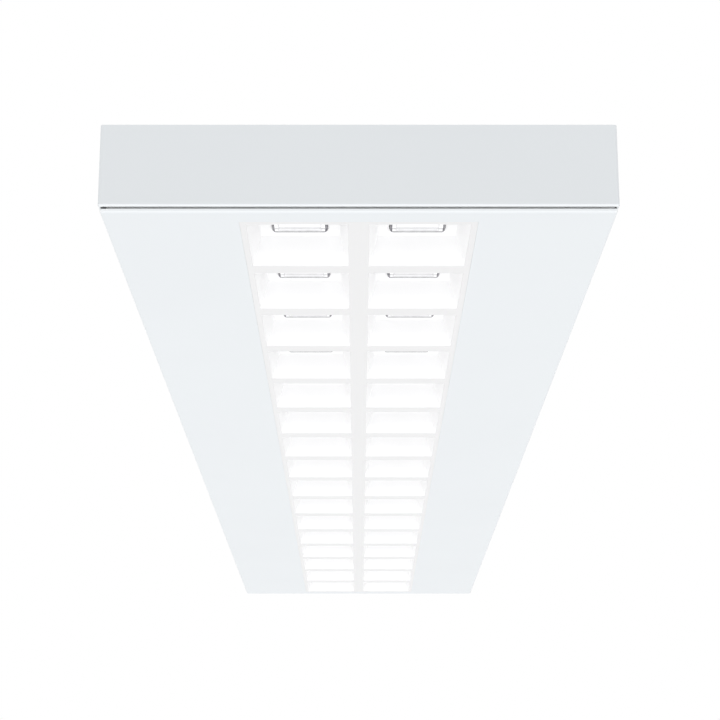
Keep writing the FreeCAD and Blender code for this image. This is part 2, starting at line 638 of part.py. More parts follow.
def make_back_plate():
    """The plate on the ceiling, with four slots, the cable hole and the holes of its fasteners."""
    half_x = RAIL_INNER - BACK_PLATE_CLEARANCE
    half_y = CAP_INNER - BACK_PLATE_CLEARANCE
    plate = block(-half_x, half_x, -half_y, half_y, PLATE_UNDERSIDE, 0)
    tools = [post(GROMMET_NECK_RADIUS, CABLE_X, CABLE_Y, PLATE_UNDERSIDE, 0)]
    for x in (-SLOT_X, SLOT_X):
        for y in (-SLOT_Y, SLOT_Y):
            tools.append(make_slot(x, y))
    for x, y in rivet_places():
        tools.append(post(RIVET_RADIUS + THREAD_CLEARANCE, x, y, PLATE_UNDERSIDE, 0))
    for x, y in cap_screw_places():
        tools.append(post(CAP_SCREW_RADIUS + THREAD_CLEARANCE, x, y, PLATE_UNDERSIDE, 0))
    for y in driver_screw_places():
        tools.append(post(DRIVER_SCREW_RADIUS + THREAD_CLEARANCE, DRIVER_X, y, PLATE_UNDERSIDE, 0))
    ribs = []
    for x in (-BEAD_OFFSET, BEAD_OFFSET):
        tools.append(make_bead(x, 0, -BEAD_DEPTH))
        ribs.append(make_bead(x, BEAD_WALL, PLATE_UNDERSIDE - BEAD_DEPTH))
    knockout_x = HALF_WIDTH - KNOCKOUT_SIDE_DISTANCE
    for y in spread(2, KNOCKOUT_END_DISTANCE):
        tools.append(make_knockout_slits(knockout_x, y))
    return cut(fuse([plate] + ribs), tools)


def make_bead(x, margin, z0):
    """The space of a long pressed bead, up to the ceiling face, with a margin round it."""
    size_x = BEAD_WIDTH + 2 * margin
    size_y = LENGTH - 2 * BEAD_END_DISTANCE + 2 * margin
    return rounded_block(x, 0, size_x, size_y, FILLET_SHARE * size_x / 2, z0, 0)


def make_knockout_slits(x, y):
    """The slits round a cable knock-out, with bridges left between them."""
    disc = post(KNOCKOUT_RADIUS, x, y, PLATE_UNDERSIDE, 0)
    core = post(KNOCKOUT_RADIUS - KNOCKOUT_SLIT, x, y, PLATE_UNDERSIDE, 0)
    middle_x = x + KNOCKOUT_RADIUS - KNOCKOUT_SLIT / 2
    bridges = []
    for index in range(KNOCKOUT_BRIDGE_COUNT):
        bridge = centred_block(middle_x, y, 3 * KNOCKOUT_SLIT, KNOCKOUT_BRIDGE, PLATE_UNDERSIDE, 0)
        bridge.rotate(Vector(x, y, 0), UP, 360 * index / KNOCKOUT_BRIDGE_COUNT)
        bridges.append(bridge)
    return cut(cut(disc, [core]), bridges)


def make_slot(x, y):
    """The space of one ceiling slot, long in X."""
    reach = SLOT_LENGTH / 2 - SLOT_RADIUS
    middle = centred_block(x, y, 2 * reach, 2 * SLOT_RADIUS, PLATE_UNDERSIDE, 0)
    ends = [post(SLOT_RADIUS, x + side * reach, y, PLATE_UNDERSIDE, 0) for side in (-1, 1)]
    return fuse([middle] + ends)


def rivet_places():
    """Rivets along both ledges."""
    return [(side * RIVET_X, y) for side in (-1, 1) for y in spread(RIVETS_PER_SIDE, RIVET_END_DISTANCE)]


def make_profile_rivets():
    """Rivets from the ledges up into the back plate, flush with the ceiling face."""
    rivets = []
    for x, y in rivet_places():
        head = post(RIVET_HEAD_RADIUS, x, y, LEDGE_UNDERSIDE - RIVET_HEAD_HEIGHT, LEDGE_UNDERSIDE)
        shank = post(RIVET_RADIUS, x, y, LEDGE_UNDERSIDE, 0)
        rivets.append(fuse([head, shank]))
    return Part.makeCompound(rivets)


def side_fastener_places():
    """Side, Y, Z, radius and sheet of the flush rivets of the hinge brackets and catch springs."""
    places = []
    level = (BRACKET_LOW + BRACKET_HIGH) / 2
    for y in hinge_places():
        for offset in spaced(2, HINGE_WIDTH - 2 * BRACKET_RIVET_EDGE):
            places.append((-1, y + offset, level, RIVET_RADIUS, BRACKET_SHEET))
    catch_level = catch_spring_top() + CATCH_FLANGE_HEIGHT / 2
    for y in catch_places():
        places.append((1, y, catch_level, CATCH_RIVET_RADIUS, CATCH_SPRING_SHEET))
    return places


def across(radius, x0, x1, y, z):
    """A cylinder that lies along X."""
    low = min(x0, x1)
    return Part.makeCylinder(radius, abs(x1 - x0), Vector(low, y, z), ACROSS)


def make_side_rivets():
    """Flush rivets through the rails' walls, with a round head inside."""
    rivets = []
    for side, y, z, radius, sheet in side_fastener_places():
        seat = RAIL_INNER - sheet
        shank = across(radius, side * HALF_WIDTH, side * seat, y, z)
        head = across(2 * radius, side * seat, side * (seat - radius), y, z)
        rivets.append(fuse([shank, head]))
    return Part.makeCompound(rivets)


def make_side_profile(side):
    """An extruded rail: outer wall, ledge for the back plate and a stiffening rib."""
    wall = block(RAIL_INNER, HALF_WIDTH, -CAP_INNER, CAP_INNER, HOUSING_BOTTOM, 0)
    low_edges = [edge for edge in wall.Edges
                 if edge.BoundBox.ZMax < HOUSING_BOTTOM + HOUSING_EDGE_CHAMFER / 2
                 and edge.BoundBox.XMin > HALF_WIDTH - RAIL_WALL / 2]
    wall = wall.makeChamfer(min(HOUSING_EDGE_CHAMFER, FILLET_SHARE * RAIL_WALL), low_edges)
    ledge = block(RAIL_INNER - RAIL_LEDGE, RAIL_INNER, -CAP_INNER, CAP_INNER,
                  LEDGE_UNDERSIDE, PLATE_UNDERSIDE)
    rib = block(RAIL_INNER - RAIL_RIB_DEPTH, RAIL_INNER, -CAP_INNER, CAP_INNER,
                -RAIL_RIB_LEVEL - RAIL_RIB_DEPTH, -RAIL_RIB_LEVEL)
    pieces = [wall, ledge, rib]
    if side > 0:
        skirt_space = CAP_SKIRT_SETBACK + CAP_SKIRT_THICKNESS + BACK_PLATE_CLEARANCE
        pieces.append(block(RAIL_INNER - RAIL_RETURN, RAIL_INNER, -CAP_INNER + skirt_space,
                            CAP_INNER - skirt_space, HOUSING_BOTTOM, HOUSING_BOTTOM + RAIL_RETURN_THICKNESS))
    rail = fuse(pieces)
    if side < 0:
        rail = rail.mirror(Vector(0, 0, 0), ACROSS)
    tools = [post(RIVET_RADIUS + THREAD_CLEARANCE, x, y, LEDGE_UNDERSIDE, PLATE_UNDERSIDE)
             for x, y in rivet_places() if x * side > 0]
    for fastener_side, y, z, radius, _ in side_fastener_places():
        if fastener_side == side:
            tools.append(across(radius + PIN_PRESS_CLEARANCE, side * RAIL_INNER, side * HALF_WIDTH, y, z))
    return cut(rail, tools)


def cap_screw_places():
    """Screws in the lugs of both end caps."""
    reach = CAP_INNER - CAP_LUG_LENGTH / 2
    return [(x, end * reach) for end in (-1, 1) for x in (-CAP_LUG_X, CAP_LUG_X)]


def make_end_cap(end):
    """An end plate with a chamfered lower edge, a light-tight skirt on a web and two screw lugs."""
    plate = rounded_block(0, CAP_INNER - CAP_THICKNESS, WIDTH, 4 * CAP_THICKNESS, CORNER_RADIUS,
                          HOUSING_BOTTOM, 0)
    low_edges = [edge for edge in plate.Edges
                 if edge.BoundBox.ZMax < HOUSING_BOTTOM + HOUSING_EDGE_CHAMFER / 2]
    plate = plate.makeChamfer(min(HOUSING_EDGE_CHAMFER, FILLET_SHARE * CORNER_RADIUS), low_edges)
    plate = plate.common(block(-WIDTH, WIDTH, CAP_INNER, HALF_LENGTH, -HEIGHT, HEIGHT))
    skirt_left = -RAIL_INNER + CAP_SKIRT_SIDE_GAP
    skirt_right = HALF_WIDTH - PANEL_INSET - PANEL_SHEET - CAP_SKIRT_CLEARANCE
    skirt_face = CAP_INNER - CAP_SKIRT_SETBACK
    skirt_top = HOUSING_BOTTOM + CAP_SKIRT_RISE
    skirt = block(skirt_left, skirt_right, skirt_face - CAP_SKIRT_THICKNESS, skirt_face,
                  RIM_TOP - CAP_SKIRT_OVERLAP, skirt_top)
    web = block(skirt_left, skirt_right, skirt_face, CAP_INNER, skirt_top - CAP_SKIRT_THICKNESS, skirt_top)
    lug_top = PLATE_UNDERSIDE
    lugs = [centred_block(x, CAP_INNER - CAP_LUG_LENGTH / 2, CAP_LUG_WIDTH, CAP_LUG_LENGTH,
                          lug_top - CAP_LUG_THICKNESS, lug_top) for x in (-CAP_LUG_X, CAP_LUG_X)]
    cap = fuse([plate, skirt, web] + lugs)
    if end < 0:
        cap = cap.mirror(Vector(0, 0, 0), ALONG)
    holes = [post(CAP_SCREW_RADIUS + HOLE_CLEARANCE, x, y, lug_top - CAP_LUG_THICKNESS, lug_top)
             for x, y in cap_screw_places() if y * end > 0]
    return cut(cap, holes)


def make_end_cap_screws():
    """Screws from inside, through the lugs into the back plate."""
    screws = []
    seat = PLATE_UNDERSIDE - CAP_LUG_THICKNESS
    for x, y in cap_screw_places():
        head = post(CAP_SCREW_HEAD_RADIUS, x, y, seat - CAP_SCREW_HEAD_HEIGHT, seat)
        shank = post(CAP_SCREW_RADIUS, x, y, seat, -SCREW_TOP_GAP)
        screws.append(fuse([head, shank]))
    return Part.makeCompound(screws)


def make_cable_grommet():
    """A rubber ring in the cable hole, flush with the ceiling face."""
    flange_low = PLATE_UNDERSIDE - GROMMET_FLANGE_HEIGHT
    collar_low = flange_low - GROMMET_COLLAR_HEIGHT
    neck = post(GROMMET_NECK_RADIUS, CABLE_X, CABLE_Y, PLATE_UNDERSIDE, 0)
    flange = post(GROMMET_NECK_RADIUS + GROMMET_FLANGE_REACH, CABLE_X, CABLE_Y, flange_low, PLATE_UNDERSIDE)
    collar = post(CABLE_BORE_RADIUS + GROMMET_COLLAR_WALL, CABLE_X, CABLE_Y, collar_low, flange_low)
    bore = post(CABLE_BORE_RADIUS, CABLE_X, CABLE_Y, collar_low, 0)
    return cut(fuse([neck, flange, collar]), [bore])


def along(radius, y0, y1):
    """A cylinder on the hinge axis."""
    return Part.makeCylinder(radius, y1 - y0, Vector(HINGE_X, y0, HINGE_Z), ALONG)


def hinge_spans(y):
    """Y ranges of a hinge: front knuckle, leaf knuckle and rear knuckle."""
    front = y - HINGE_WIDTH / 2
    rear = y + HINGE_WIDTH / 2
    return (
        (front, front + KNUCKLE_LENGTH),
        (front + KNUCKLE_LENGTH + KNUCKLE_GAP, rear - KNUCKLE_LENGTH - KNUCKLE_GAP),
        (rear - KNUCKLE_LENGTH, rear),
    )


def make_hinge_bracket(y):
    """The fixed half of a hinge, on the inside of the left rail."""
    wall = -RAIL_INNER
    spans = hinge_spans(y)
    pieces = [block(wall, wall + BRACKET_SHEET, spans[0][0], spans[2][1], BRACKET_LOW, BRACKET_HIGH)]
    for low, high in (spans[0], spans[2]):
        pieces.append(along(KNUCKLE_RADIUS, low, high))
        pieces.append(block(wall, wall + BRACKET_SHEET, low, high, HINGE_Z, BRACKET_LOW))
    tools = [along(PIN_RADIUS + PIN_PRESS_CLEARANCE, spans[0][0], spans[2][1])]
    for side, place_y, z, radius, _ in side_fastener_places():
        if side < 0 and abs(place_y - y) < HINGE_WIDTH / 2:
            tools.append(across(radius + PIN_PRESS_CLEARANCE, wall, wall + BRACKET_SHEET, place_y, z))
    return cut(fuse(pieces), tools)


def make_hinge_pins():
    """One headed pin per hinge."""
    pins = []
    for y in hinge_places():
        front = y - HINGE_WIDTH / 2
        rear = y + HINGE_WIDTH / 2
        head = along(PIN_RADIUS + PIN_HEAD_REACH, front - PIN_HEAD_LENGTH, front)
        pins.append(fuse([along(PIN_RADIUS, front, rear), head]))
    return Part.makeCompound(pins)


def make_hinge_leaf(y):
    """The moving half of a hinge: knuckle, arm, upright web and a foot on the panel."""
    low, high = hinge_spans(y)[1]
    web_end = LEAF_WEB_X + LEAF_WEB_THICKNESS
    knuckle = along(KNUCKLE_RADIUS, low, high)
    arm = block(HINGE_X, web_end, low, high, HINGE_Z - LEAF_ARM_HALF, HINGE_Z + LEAF_ARM_HALF)
    web = block(LEAF_WEB_X, web_end, low, high, PANEL_TOP, HINGE_Z + LEAF_ARM_HALF)
    foot = block(LEAF_WEB_X, LEAF_WEB_X + LEAF_FOOT_LENGTH, low, high,
                 PANEL_TOP, PANEL_TOP + LEAF_FOOT_THICKNESS)
    return cut(fuse([knuckle, arm, web, foot]), [along(PIN_RADIUS + PIN_RUNNING_CLEARANCE, low, high)])


def catch_spring_top():
    """Underside level of the bridge of a catch spring, just above its stud."""
    return PANEL_TOP + CATCH_STUD_NECK + CATCH_HEAD_HEIGHT + 2 * CATCH_SIDE_CLEARANCE


def make_catch_studs():
    """Studs on the panel, each with a round head that the spring grips below."""
    studs = []
    neck_top = PANEL_TOP + CATCH_STUD_NECK
    for y in catch_places():
        base = post(CATCH_BASE_RADIUS, CATCH_X, y, PANEL_TOP, PANEL_TOP + CATCH_BASE_HEIGHT)
        neck = post(CATCH_STUD_RADIUS, CATCH_X, y, PANEL_TOP, neck_top)
        head = Part.makeCone(CATCH_HEAD_RADIUS, CATCH_STUD_RADIUS, CATCH_HEAD_HEIGHT,
                             Vector(CATCH_X, y, neck_top), UP)
        studs.append(fuse([base, neck, head]))
    return Part.makeCompound(studs)


def make_catch_springs():
    """Bent sheet springs on the right rail, with two arms that close in under a stud's head."""
    bridge_low = catch_spring_top()
    bridge_high = bridge_low + CATCH_SPRING_SHEET
    knee = PANEL_TOP + CATCH_STUD_NECK - CATCH_SIDE_CLEARANCE
    throat = knee - CATCH_THROAT_DROP
    arm_inner = CATCH_HEAD_RADIUS + CATCH_SIDE_CLEARANCE
    arm_outer = arm_inner + CATCH_SPRING_SHEET
    grip = CATCH_STUD_RADIUS + CATCH_SIDE_CLEARANCE
    flare_low = throat - 2 * CATCH_SPRING_SHEET
    start_x = CATCH_X - CATCH_SPRING_WIDTH / 2
    springs = []
    for y in catch_places():
        pieces = [block(start_x, RAIL_INNER, y - arm_outer, y + arm_outer, bridge_low, bridge_high)]
        pieces.append(block(RAIL_INNER - CATCH_SPRING_SHEET, RAIL_INNER, y - arm_outer, y + arm_outer,
                            bridge_low, bridge_low + CATCH_FLANGE_HEIGHT))
        for side in (-1, 1):
            outline = [
                (arm_inner, bridge_high),
                (arm_inner, knee),
                (grip, throat),
                (arm_inner, flare_low),
                (arm_outer, flare_low),
                (grip + CATCH_SPRING_SHEET, throat),
                (arm_outer, knee),
                (arm_outer, bridge_high),
            ]
            points = [Vector(start_x, y + side * offset, z) for offset, z in outline]
            pieces.append(polygon_prism(points, Vector(CATCH_SPRING_WIDTH, 0, 0)))
        hole_z = bridge_low + CATCH_FLANGE_HEIGHT / 2
        hole_radius = CATCH_RIVET_RADIUS + PIN_PRESS_CLEARANCE
        hole = across(hole_radius, RAIL_INNER - CATCH_SPRING_SHEET, RAIL_INNER, y, hole_z)
        springs.append(cut(fuse(pieces), [hole]))
    return Part.makeCompound(springs)


def driver_screw_places():
    """Y of the screws in the driver's two end tabs."""
    return [DRIVER_FRONT_Y - DRIVER_TAB / 2, DRIVER_REAR_Y + DRIVER_TAB / 2]


def make_driver_base():
    """The driver's mounting plate with a tab at each end."""
    plate = block(DRIVER_X - DRIVER_WIDTH / 2, DRIVER_X + DRIVER_WIDTH / 2, DRIVER_FRONT_Y - DRIVER_TAB,
                  DRIVER_REAR_Y + DRIVER_TAB, PLATE_UNDERSIDE - DRIVER_SHEET, PLATE_UNDERSIDE)
    hole = DRIVER_SCREW_RADIUS + HOLE_CLEARANCE
    holes = [post(hole, DRIVER_X, y, PLATE_UNDERSIDE - DRIVER_SHEET, PLATE_UNDERSIDE)
             for y in driver_screw_places()]
    return cut(plate, holes)


def make_driver_lid():
    """The driver's cover, open at both ends for its terminals."""
    low = PLATE_UNDERSIDE - DRIVER_HEIGHT
    high = PLATE_UNDERSIDE - DRIVER_SHEET
    half = DRIVER_WIDTH / 2
    shell = block(DRIVER_X - half, DRIVER_X + half, DRIVER_FRONT_Y, DRIVER_REAR_Y, low, high)
    fold_edges = [edge for edge in shell.Edges
                  if edge.BoundBox.ZMax < low + DRIVER_EDGE_RADIUS / 2 and edge.BoundBox.YLength > half]
    shell = shell.makeFillet(DRIVER_EDGE_RADIUS, fold_edges)
    hollow = block(DRIVER_X - half + DRIVER_SHEET, DRIVER_X + half - DRIVER_SHEET,
                   DRIVER_FRONT_Y + DRIVER_SHEET, DRIVER_REAR_Y - DRIVER_SHEET,
                   low + DRIVER_SHEET, high)
    gate_half = DRIVER_TERMINAL_WIDTH / 2 + DRIVER_TERMINAL_CLEARANCE
    gate_high = driver_board_low()
    gate_low = gate_high - DRIVER_TERMINAL_HEIGHT - DRIVER_TERMINAL_CLEARANCE
    gate = block(DRIVER_X - gate_half, DRIVER_X + gate_half, DRIVER_FRONT_Y, DRIVER_REAR_Y,
                 gate_low, gate_high)
    return cut(shell, [hollow, gate])


def driver_board_low():
    """Underside level of the driver's circuit board."""
    return PLATE_UNDERSIDE - DRIVER_BOARD_LEVEL - DRIVER_BOARD_THICKNESS


def make_driver_board():
    """The driver's circuit board, held between the walls of its cover."""
    half = DRIVER_WIDTH / 2 - DRIVER_SHEET - DRIVER_BOARD_CLEARANCE
    inset = DRIVER_SHEET + DRIVER_BOARD_CLEARANCE
    return block(DRIVER_X - half, DRIVER_X + half, DRIVER_FRONT_Y + inset, DRIVER_REAR_Y - inset,
                 driver_board_low(), driver_board_low() + DRIVER_BOARD_THICKNESS)


def make_driver_terminal(end, entries):
    """A terminal under the driver's board that reaches out of one end, with square wire entries."""
    high = driver_board_low()
    half = DRIVER_TERMINAL_WIDTH / 2
    if end > 0:
        span = (DRIVER_REAR_Y - DRIVER_TERMINAL_INSIDE, DRIVER_REAR_Y + DRIVER_TERMINAL_OUTSIDE)
        entry_span = (span[1] - DRIVER_ENTRY_DEPTH, span[1])
    else:
        span = (DRIVER_FRONT_Y - DRIVER_TERMINAL_OUTSIDE, DRIVER_FRONT_Y + DRIVER_TERMINAL_INSIDE)
        entry_span = (span[0], span[0] + DRIVER_ENTRY_DEPTH)
    body = block(DRIVER_X - half, DRIVER_X + half, span[0], span[1], high - DRIVER_TERMINAL_HEIGHT, high)
    holes = [block(x - size / 2, x + size / 2, entry_span[0], entry_span[1],
                   -DRIVER_ENTRY_LEVEL - size / 2, -DRIVER_ENTRY_LEVEL + size / 2) for x, size in entries]
    return cut(body, holes)


def make_driver_screws():
    """Screws that hold the driver's tabs to the back plate."""
    screws = []
    seat = PLATE_UNDERSIDE - DRIVER_SHEET
    for y in driver_screw_places():
        head = post(DRIVER_SCREW_HEAD_RADIUS, DRIVER_X, y, seat - DRIVER_SCREW_HEAD_HEIGHT, seat)
        shank = post(DRIVER_SCREW_RADIUS, DRIVER_X, y, seat, -SCREW_TOP_GAP)
        screws.append(fuse([head, shank]))
    return Part.makeCompound(screws)


def pole_places():
    """X of each pole of the mains terminal."""
    return [DRIVER_X + x for x in spaced(POLE_COUNT, POLE_PITCH)]


def button_middle_y():
    """Y of the middle of the release buttons."""
    return TERMINAL_REAR_Y - BUTTON_SETBACK


def terminal_middle_y():
    """Y of the middle of the mains terminal."""
    return (TERMINAL_FRONT_Y + TERMINAL_REAR_Y) / 2


def contact_span():
    """Y range of the contacts, in the middle of the mains terminal."""
    return terminal_middle_y() - CONTACT_LENGTH / 2, terminal_middle_y() + CONTACT_LENGTH / 2


def make_terminal_block():
    """The mains terminal's body: a passage and a button's pocket per pole, with grooves between poles."""
    half = POLE_COUNT * POLE_PITCH / 2 + TERMINAL_END_WALL
    low = PLATE_UNDERSIDE - TERMINAL_HEIGHT
    body = block(DRIVER_X - half, DRIVER_X + half, TERMINAL_FRONT_Y, TERMINAL_REAR_Y, low, PLATE_UNDERSIDE)
    pocket_x = BUTTON_SIZE_X + 2 * BUTTON_CLEARANCE
    pocket_y = BUTTON_SIZE_Y + 2 * BUTTON_CLEARANCE
    pocket_high = low + BUTTON_INSIDE + BUTTON_TRAVEL + BUTTON_CLEARANCE
    tools = []
    for x in pole_places():
        tools.append(block(x - ENTRY_SIZE / 2, x + ENTRY_SIZE / 2, TERMINAL_FRONT_Y, TERMINAL_REAR_Y,
                           -ENTRY_LEVEL - ENTRY_SIZE / 2, -ENTRY_LEVEL + ENTRY_SIZE / 2))
        tools.append(centred_block(x, button_middle_y(), pocket_x, pocket_y, low, pocket_high))
    for x in spaced(POLE_COUNT + 1, POLE_PITCH):
        tools.append(centred_block(DRIVER_X + x, terminal_middle_y(), POLE_GROOVE_WIDTH, TERMINAL_DEPTH,
                                   low, low + POLE_GROOVE_DEPTH))
    return cut(body, tools)


def make_terminal_contacts():
    """A metal contact in each passage of the mains terminal."""
    front, rear = contact_span()
    half = ENTRY_SIZE / 2 - CONTACT_CLEARANCE
    contacts = [block(x - half, x + half, front, rear, -ENTRY_LEVEL - half, -ENTRY_LEVEL + ENTRY_SIZE / 2)
                for x in pole_places()]
    return Part.makeCompound(contacts)


def make_terminal_button(index):
    """A release button that is pushed up into the mains terminal."""
    low = PLATE_UNDERSIDE - TERMINAL_HEIGHT
    x = pole_places()[index]
    face = low - BUTTON_OUTSIDE
    button = centred_block(x, button_middle_y(), BUTTON_SIZE_X, BUTTON_SIZE_Y, face, low + BUTTON_INSIDE)
    low_edges = [edge for edge in button.Edges if edge.BoundBox.ZMax < face + BUTTON_ROUNDING / 2]
    return button.makeFillet(BUTTON_ROUNDING, low_edges)


def make_driver_lead(name, x):
    """A lead with a slack bow, from a contact of the mains terminal to the driver."""
    start = contact_span()[0]
    end = DRIVER_REAR_Y + DRIVER_TERMINAL_OUTSIDE - DRIVER_ENTRY_DEPTH
    reach = (start - end) / 4
    points = [
        Vector(x, start, -ENTRY_LEVEL),
        Vector(x, start - reach, -ENTRY_LEVEL),
        Vector(x, start - 2 * reach, -DRIVER_ENTRY_LEVEL - LEAD_SAG),
        Vector(x, end + reach, -DRIVER_ENTRY_LEVEL),
        Vector(x, end, -DRIVER_ENTRY_LEVEL),
    ]
    return tube(name, points, LEAD_RADIUS)


def make_earth_lead():
    """A lead from the last pole of the mains terminal to a ring on the earth stud."""
    x = pole_places()[-1]
    start = contact_span()[0]
    ring_high = PLATE_UNDERSIDE - EARTH_BASE_HEIGHT
    ring_low = ring_high - EARTH_RING_THICKNESS
    level = (ring_high + ring_low) / 2
    gap = EARTH_X - x
    drop = start - EARTH_Y
    points = [
        Vector(x, start, -ENTRY_LEVEL),
        Vector(x, start - drop / 2, -ENTRY_LEVEL),
        Vector(x + gap / 5, EARTH_Y + drop / 12, (level - ENTRY_LEVEL) / 2),
        Vector(x + gap / 2, EARTH_Y, level),
        Vector(EARTH_X - EARTH_RING_RADIUS - EARTH_TAB / 2, EARTH_Y, level),
    ]
    lead = tube("mains_lead_earth", points, LEAD_RADIUS)
    ring = post(EARTH_RING_RADIUS, EARTH_X, EARTH_Y, ring_low, ring_high)
    tab = block(EARTH_X - EARTH_RING_RADIUS - EARTH_TAB, EARTH_X,
                EARTH_Y - LEAD_RADIUS, EARTH_Y + LEAD_RADIUS, ring_low, ring_high)
    hole = post(EARTH_STUD_RADIUS + HOLE_CLEARANCE, EARTH_X, EARTH_Y, ring_low, ring_high)
    return cut(fuse([lead, ring, tab]), [hole])


def make_earth_stud():
    """A welded stud on the back plate."""
    base_low = PLATE_UNDERSIDE - EARTH_BASE_HEIGHT
    base = post(EARTH_BASE_RADIUS, EARTH_X, EARTH_Y, base_low, PLATE_UNDERSIDE)
    stud = post(EARTH_STUD_RADIUS, EARTH_X, EARTH_Y, base_low - EARTH_STUD_LENGTH, base_low)
    return fuse([base, stud])


def make_earth_nut():
    """The nut that presses the earth lead's ring to its stud."""
    ring_low = PLATE_UNDERSIDE - EARTH_BASE_HEIGHT - EARTH_RING_THICKNESS
    return nut(EARTH_X, EARTH_Y, EARTH_STUD_RADIUS + THREAD_CLEARANCE, ring_low - NUT_HEIGHT)


def led_plug_entry():
    """Point where the LED lead ends inside the plug on the first board."""
    x = LED_PLUG_X - LED_PLUG_SIZE_X / 2 + LED_PLUG_ENTRY_DEPTH
    return Vector(x, LED_PLUG_Y, BOARD_TOP + LED_PLUG_HEIGHT - LED_PLUG_SIZE_Y / 2 + LED_LEAD_RADIUS)


def make_led_plug():
    """The connector on the first board, up through the carrier's window."""
    entry = led_plug_entry()
    half = LED_LEAD_RADIUS + HOLE_CLEARANCE
    body = centred_block(LED_PLUG_X, LED_PLUG_Y, LED_PLUG_SIZE_X, LED_PLUG_SIZE_Y, BOARD_TOP,
                         BOARD_TOP + LED_PLUG_HEIGHT)
    hole = block(LED_PLUG_X - LED_PLUG_SIZE_X / 2, entry.x, entry.y - half, entry.y + half,
                 entry.z - half, entry.z + half)
    return cut(body, [hole])


def make_led_lead():
    """The flexible lead from the driver, along the hinge axis and over the carrier to the plug."""
    plug = led_plug_entry()
    start_y = DRIVER_FRONT_Y - DRIVER_TERMINAL_OUTSIDE + DRIVER_ENTRY_DEPTH
    bend_y = start_y - LED_LEAD_START
    twist_y = bend_y - LED_LEAD_DESCENT
    axis_x = HINGE_X + LED_LEAD_AXIS_OFFSET
    points = [
        Vector(DRIVER_X, start_y, -DRIVER_ENTRY_LEVEL),
        Vector(DRIVER_X, bend_y, -DRIVER_ENTRY_LEVEL),
        Vector(axis_x, twist_y, HINGE_Z),
        Vector(axis_x, twist_y - LED_LEAD_TWIST, HINGE_Z),
        Vector(axis_x + LED_LEAD_TURN_X, plug.y + LED_LEAD_TURN_Y, HINGE_Z + LED_LEAD_TURN_RISE),
        Vector(axis_x + LED_LEAD_CLIMB_X, plug.y, plug.z - LED_LEAD_CLIMB),
        Vector(plug.x - LED_LEAD_END, plug.y, plug.z),
        plug,
    ]
    return tube("led_lead", points, LED_LEAD_RADIUS)


def make_all():
    """Every node of the luminaire by name."""
    parts = {
        "back_plate": make_back_plate(),
        "side_profile_left": make_side_profile(-1),
        "side_profile_right": make_side_profile(1),
        "end_cap_front": make_end_cap(-1),
        "end_cap_rear": make_end_cap(1),
        "end_cap_screws": make_end_cap_screws(),
        "profile_rivets": make_profile_rivets(),
        "side_rivets": make_side_rivets(),
        "cable_grommet": make_cable_grommet(),
        "terminal_block": make_terminal_block(),
        "terminal_contacts": make_terminal_contacts(),
        "driver_base": make_driver_base(),
        "driver_lid": make_driver_lid(),
        "driver_board": make_driver_board(),
        "driver_screws": make_driver_screws(),
        "earth_stud": make_earth_stud(),
        "earth_nut": make_earth_nut(),
        "mains_lead_earth": make_earth_lead(),
        "hinge_pins": make_hinge_pins(),
        "catch_springs": make_catch_springs(),
        "catch_studs": make_catch_studs(),
        "cover_panel": make_cover_panel(),
        "led_carrier": make_led_carrier(),
        "carrier_nuts": make_carrier_nuts(),
        "led_chips": make_led_chips(),
        "board_links": make_board_links(),
        "board_screws": make_board_screws(),
        "led_plug": make_led_plug(),
        "led_lead": make_led_lead(),
    }
    poles = pole_places()
    lead_entry = 2 * (LEAD_RADIUS + HOLE_CLEARANCE)
    led_entry = 2 * (LED_LEAD_RADIUS + HOLE_CLEARANCE)
    parts["driver_input_terminal"] = make_driver_terminal(1, [(x, lead_entry) for x in poles[:-1]])
    parts["driver_output_terminal"] = make_driver_terminal(-1, [(DRIVER_X, led_entry)])
    driver_leads = ("mains_lead_live", "mains_lead_neutral", "control_lead_1", "control_lead_2")
    for name, x in zip(driver_leads, poles):
        parts[name] = make_driver_lead(name, x)
    for index in range(POLE_COUNT):
        parts[f"terminal_button_{index + 1}"] = make_terminal_button(index)
    for place, y in zip(("front", "middle", "rear"), hinge_places()):
        parts[f"hinge_bracket_{place}"] = make_hinge_bracket(y)
        parts[f"hinge_leaf_{place}"] = make_hinge_leaf(y)
    for module in range(MODULE_COUNT):
        parts[f"louvre_{module + 1}"] = make_louvre(module)
        parts[f"lens_array_{module + 1}"] = make_lens_array(module)
        parts[f"led_board_{module + 1}"] = make_led_board(module)
    return parts


def main():
    """Write one STEP file per node."""
    os.makedirs("parts", exist_ok=True)
    for name, shape in make_all().items():
        shape.exportStep(os.path.join("parts", name + ".step"))


main()
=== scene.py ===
"""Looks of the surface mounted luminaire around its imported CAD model. Metres, +Z up.

The frame is the CAD model's own: origin in the middle of the ceiling face, X across, Y along.
"""

import math

import bmesh
import bpy
from mathutils import Matrix, Vector


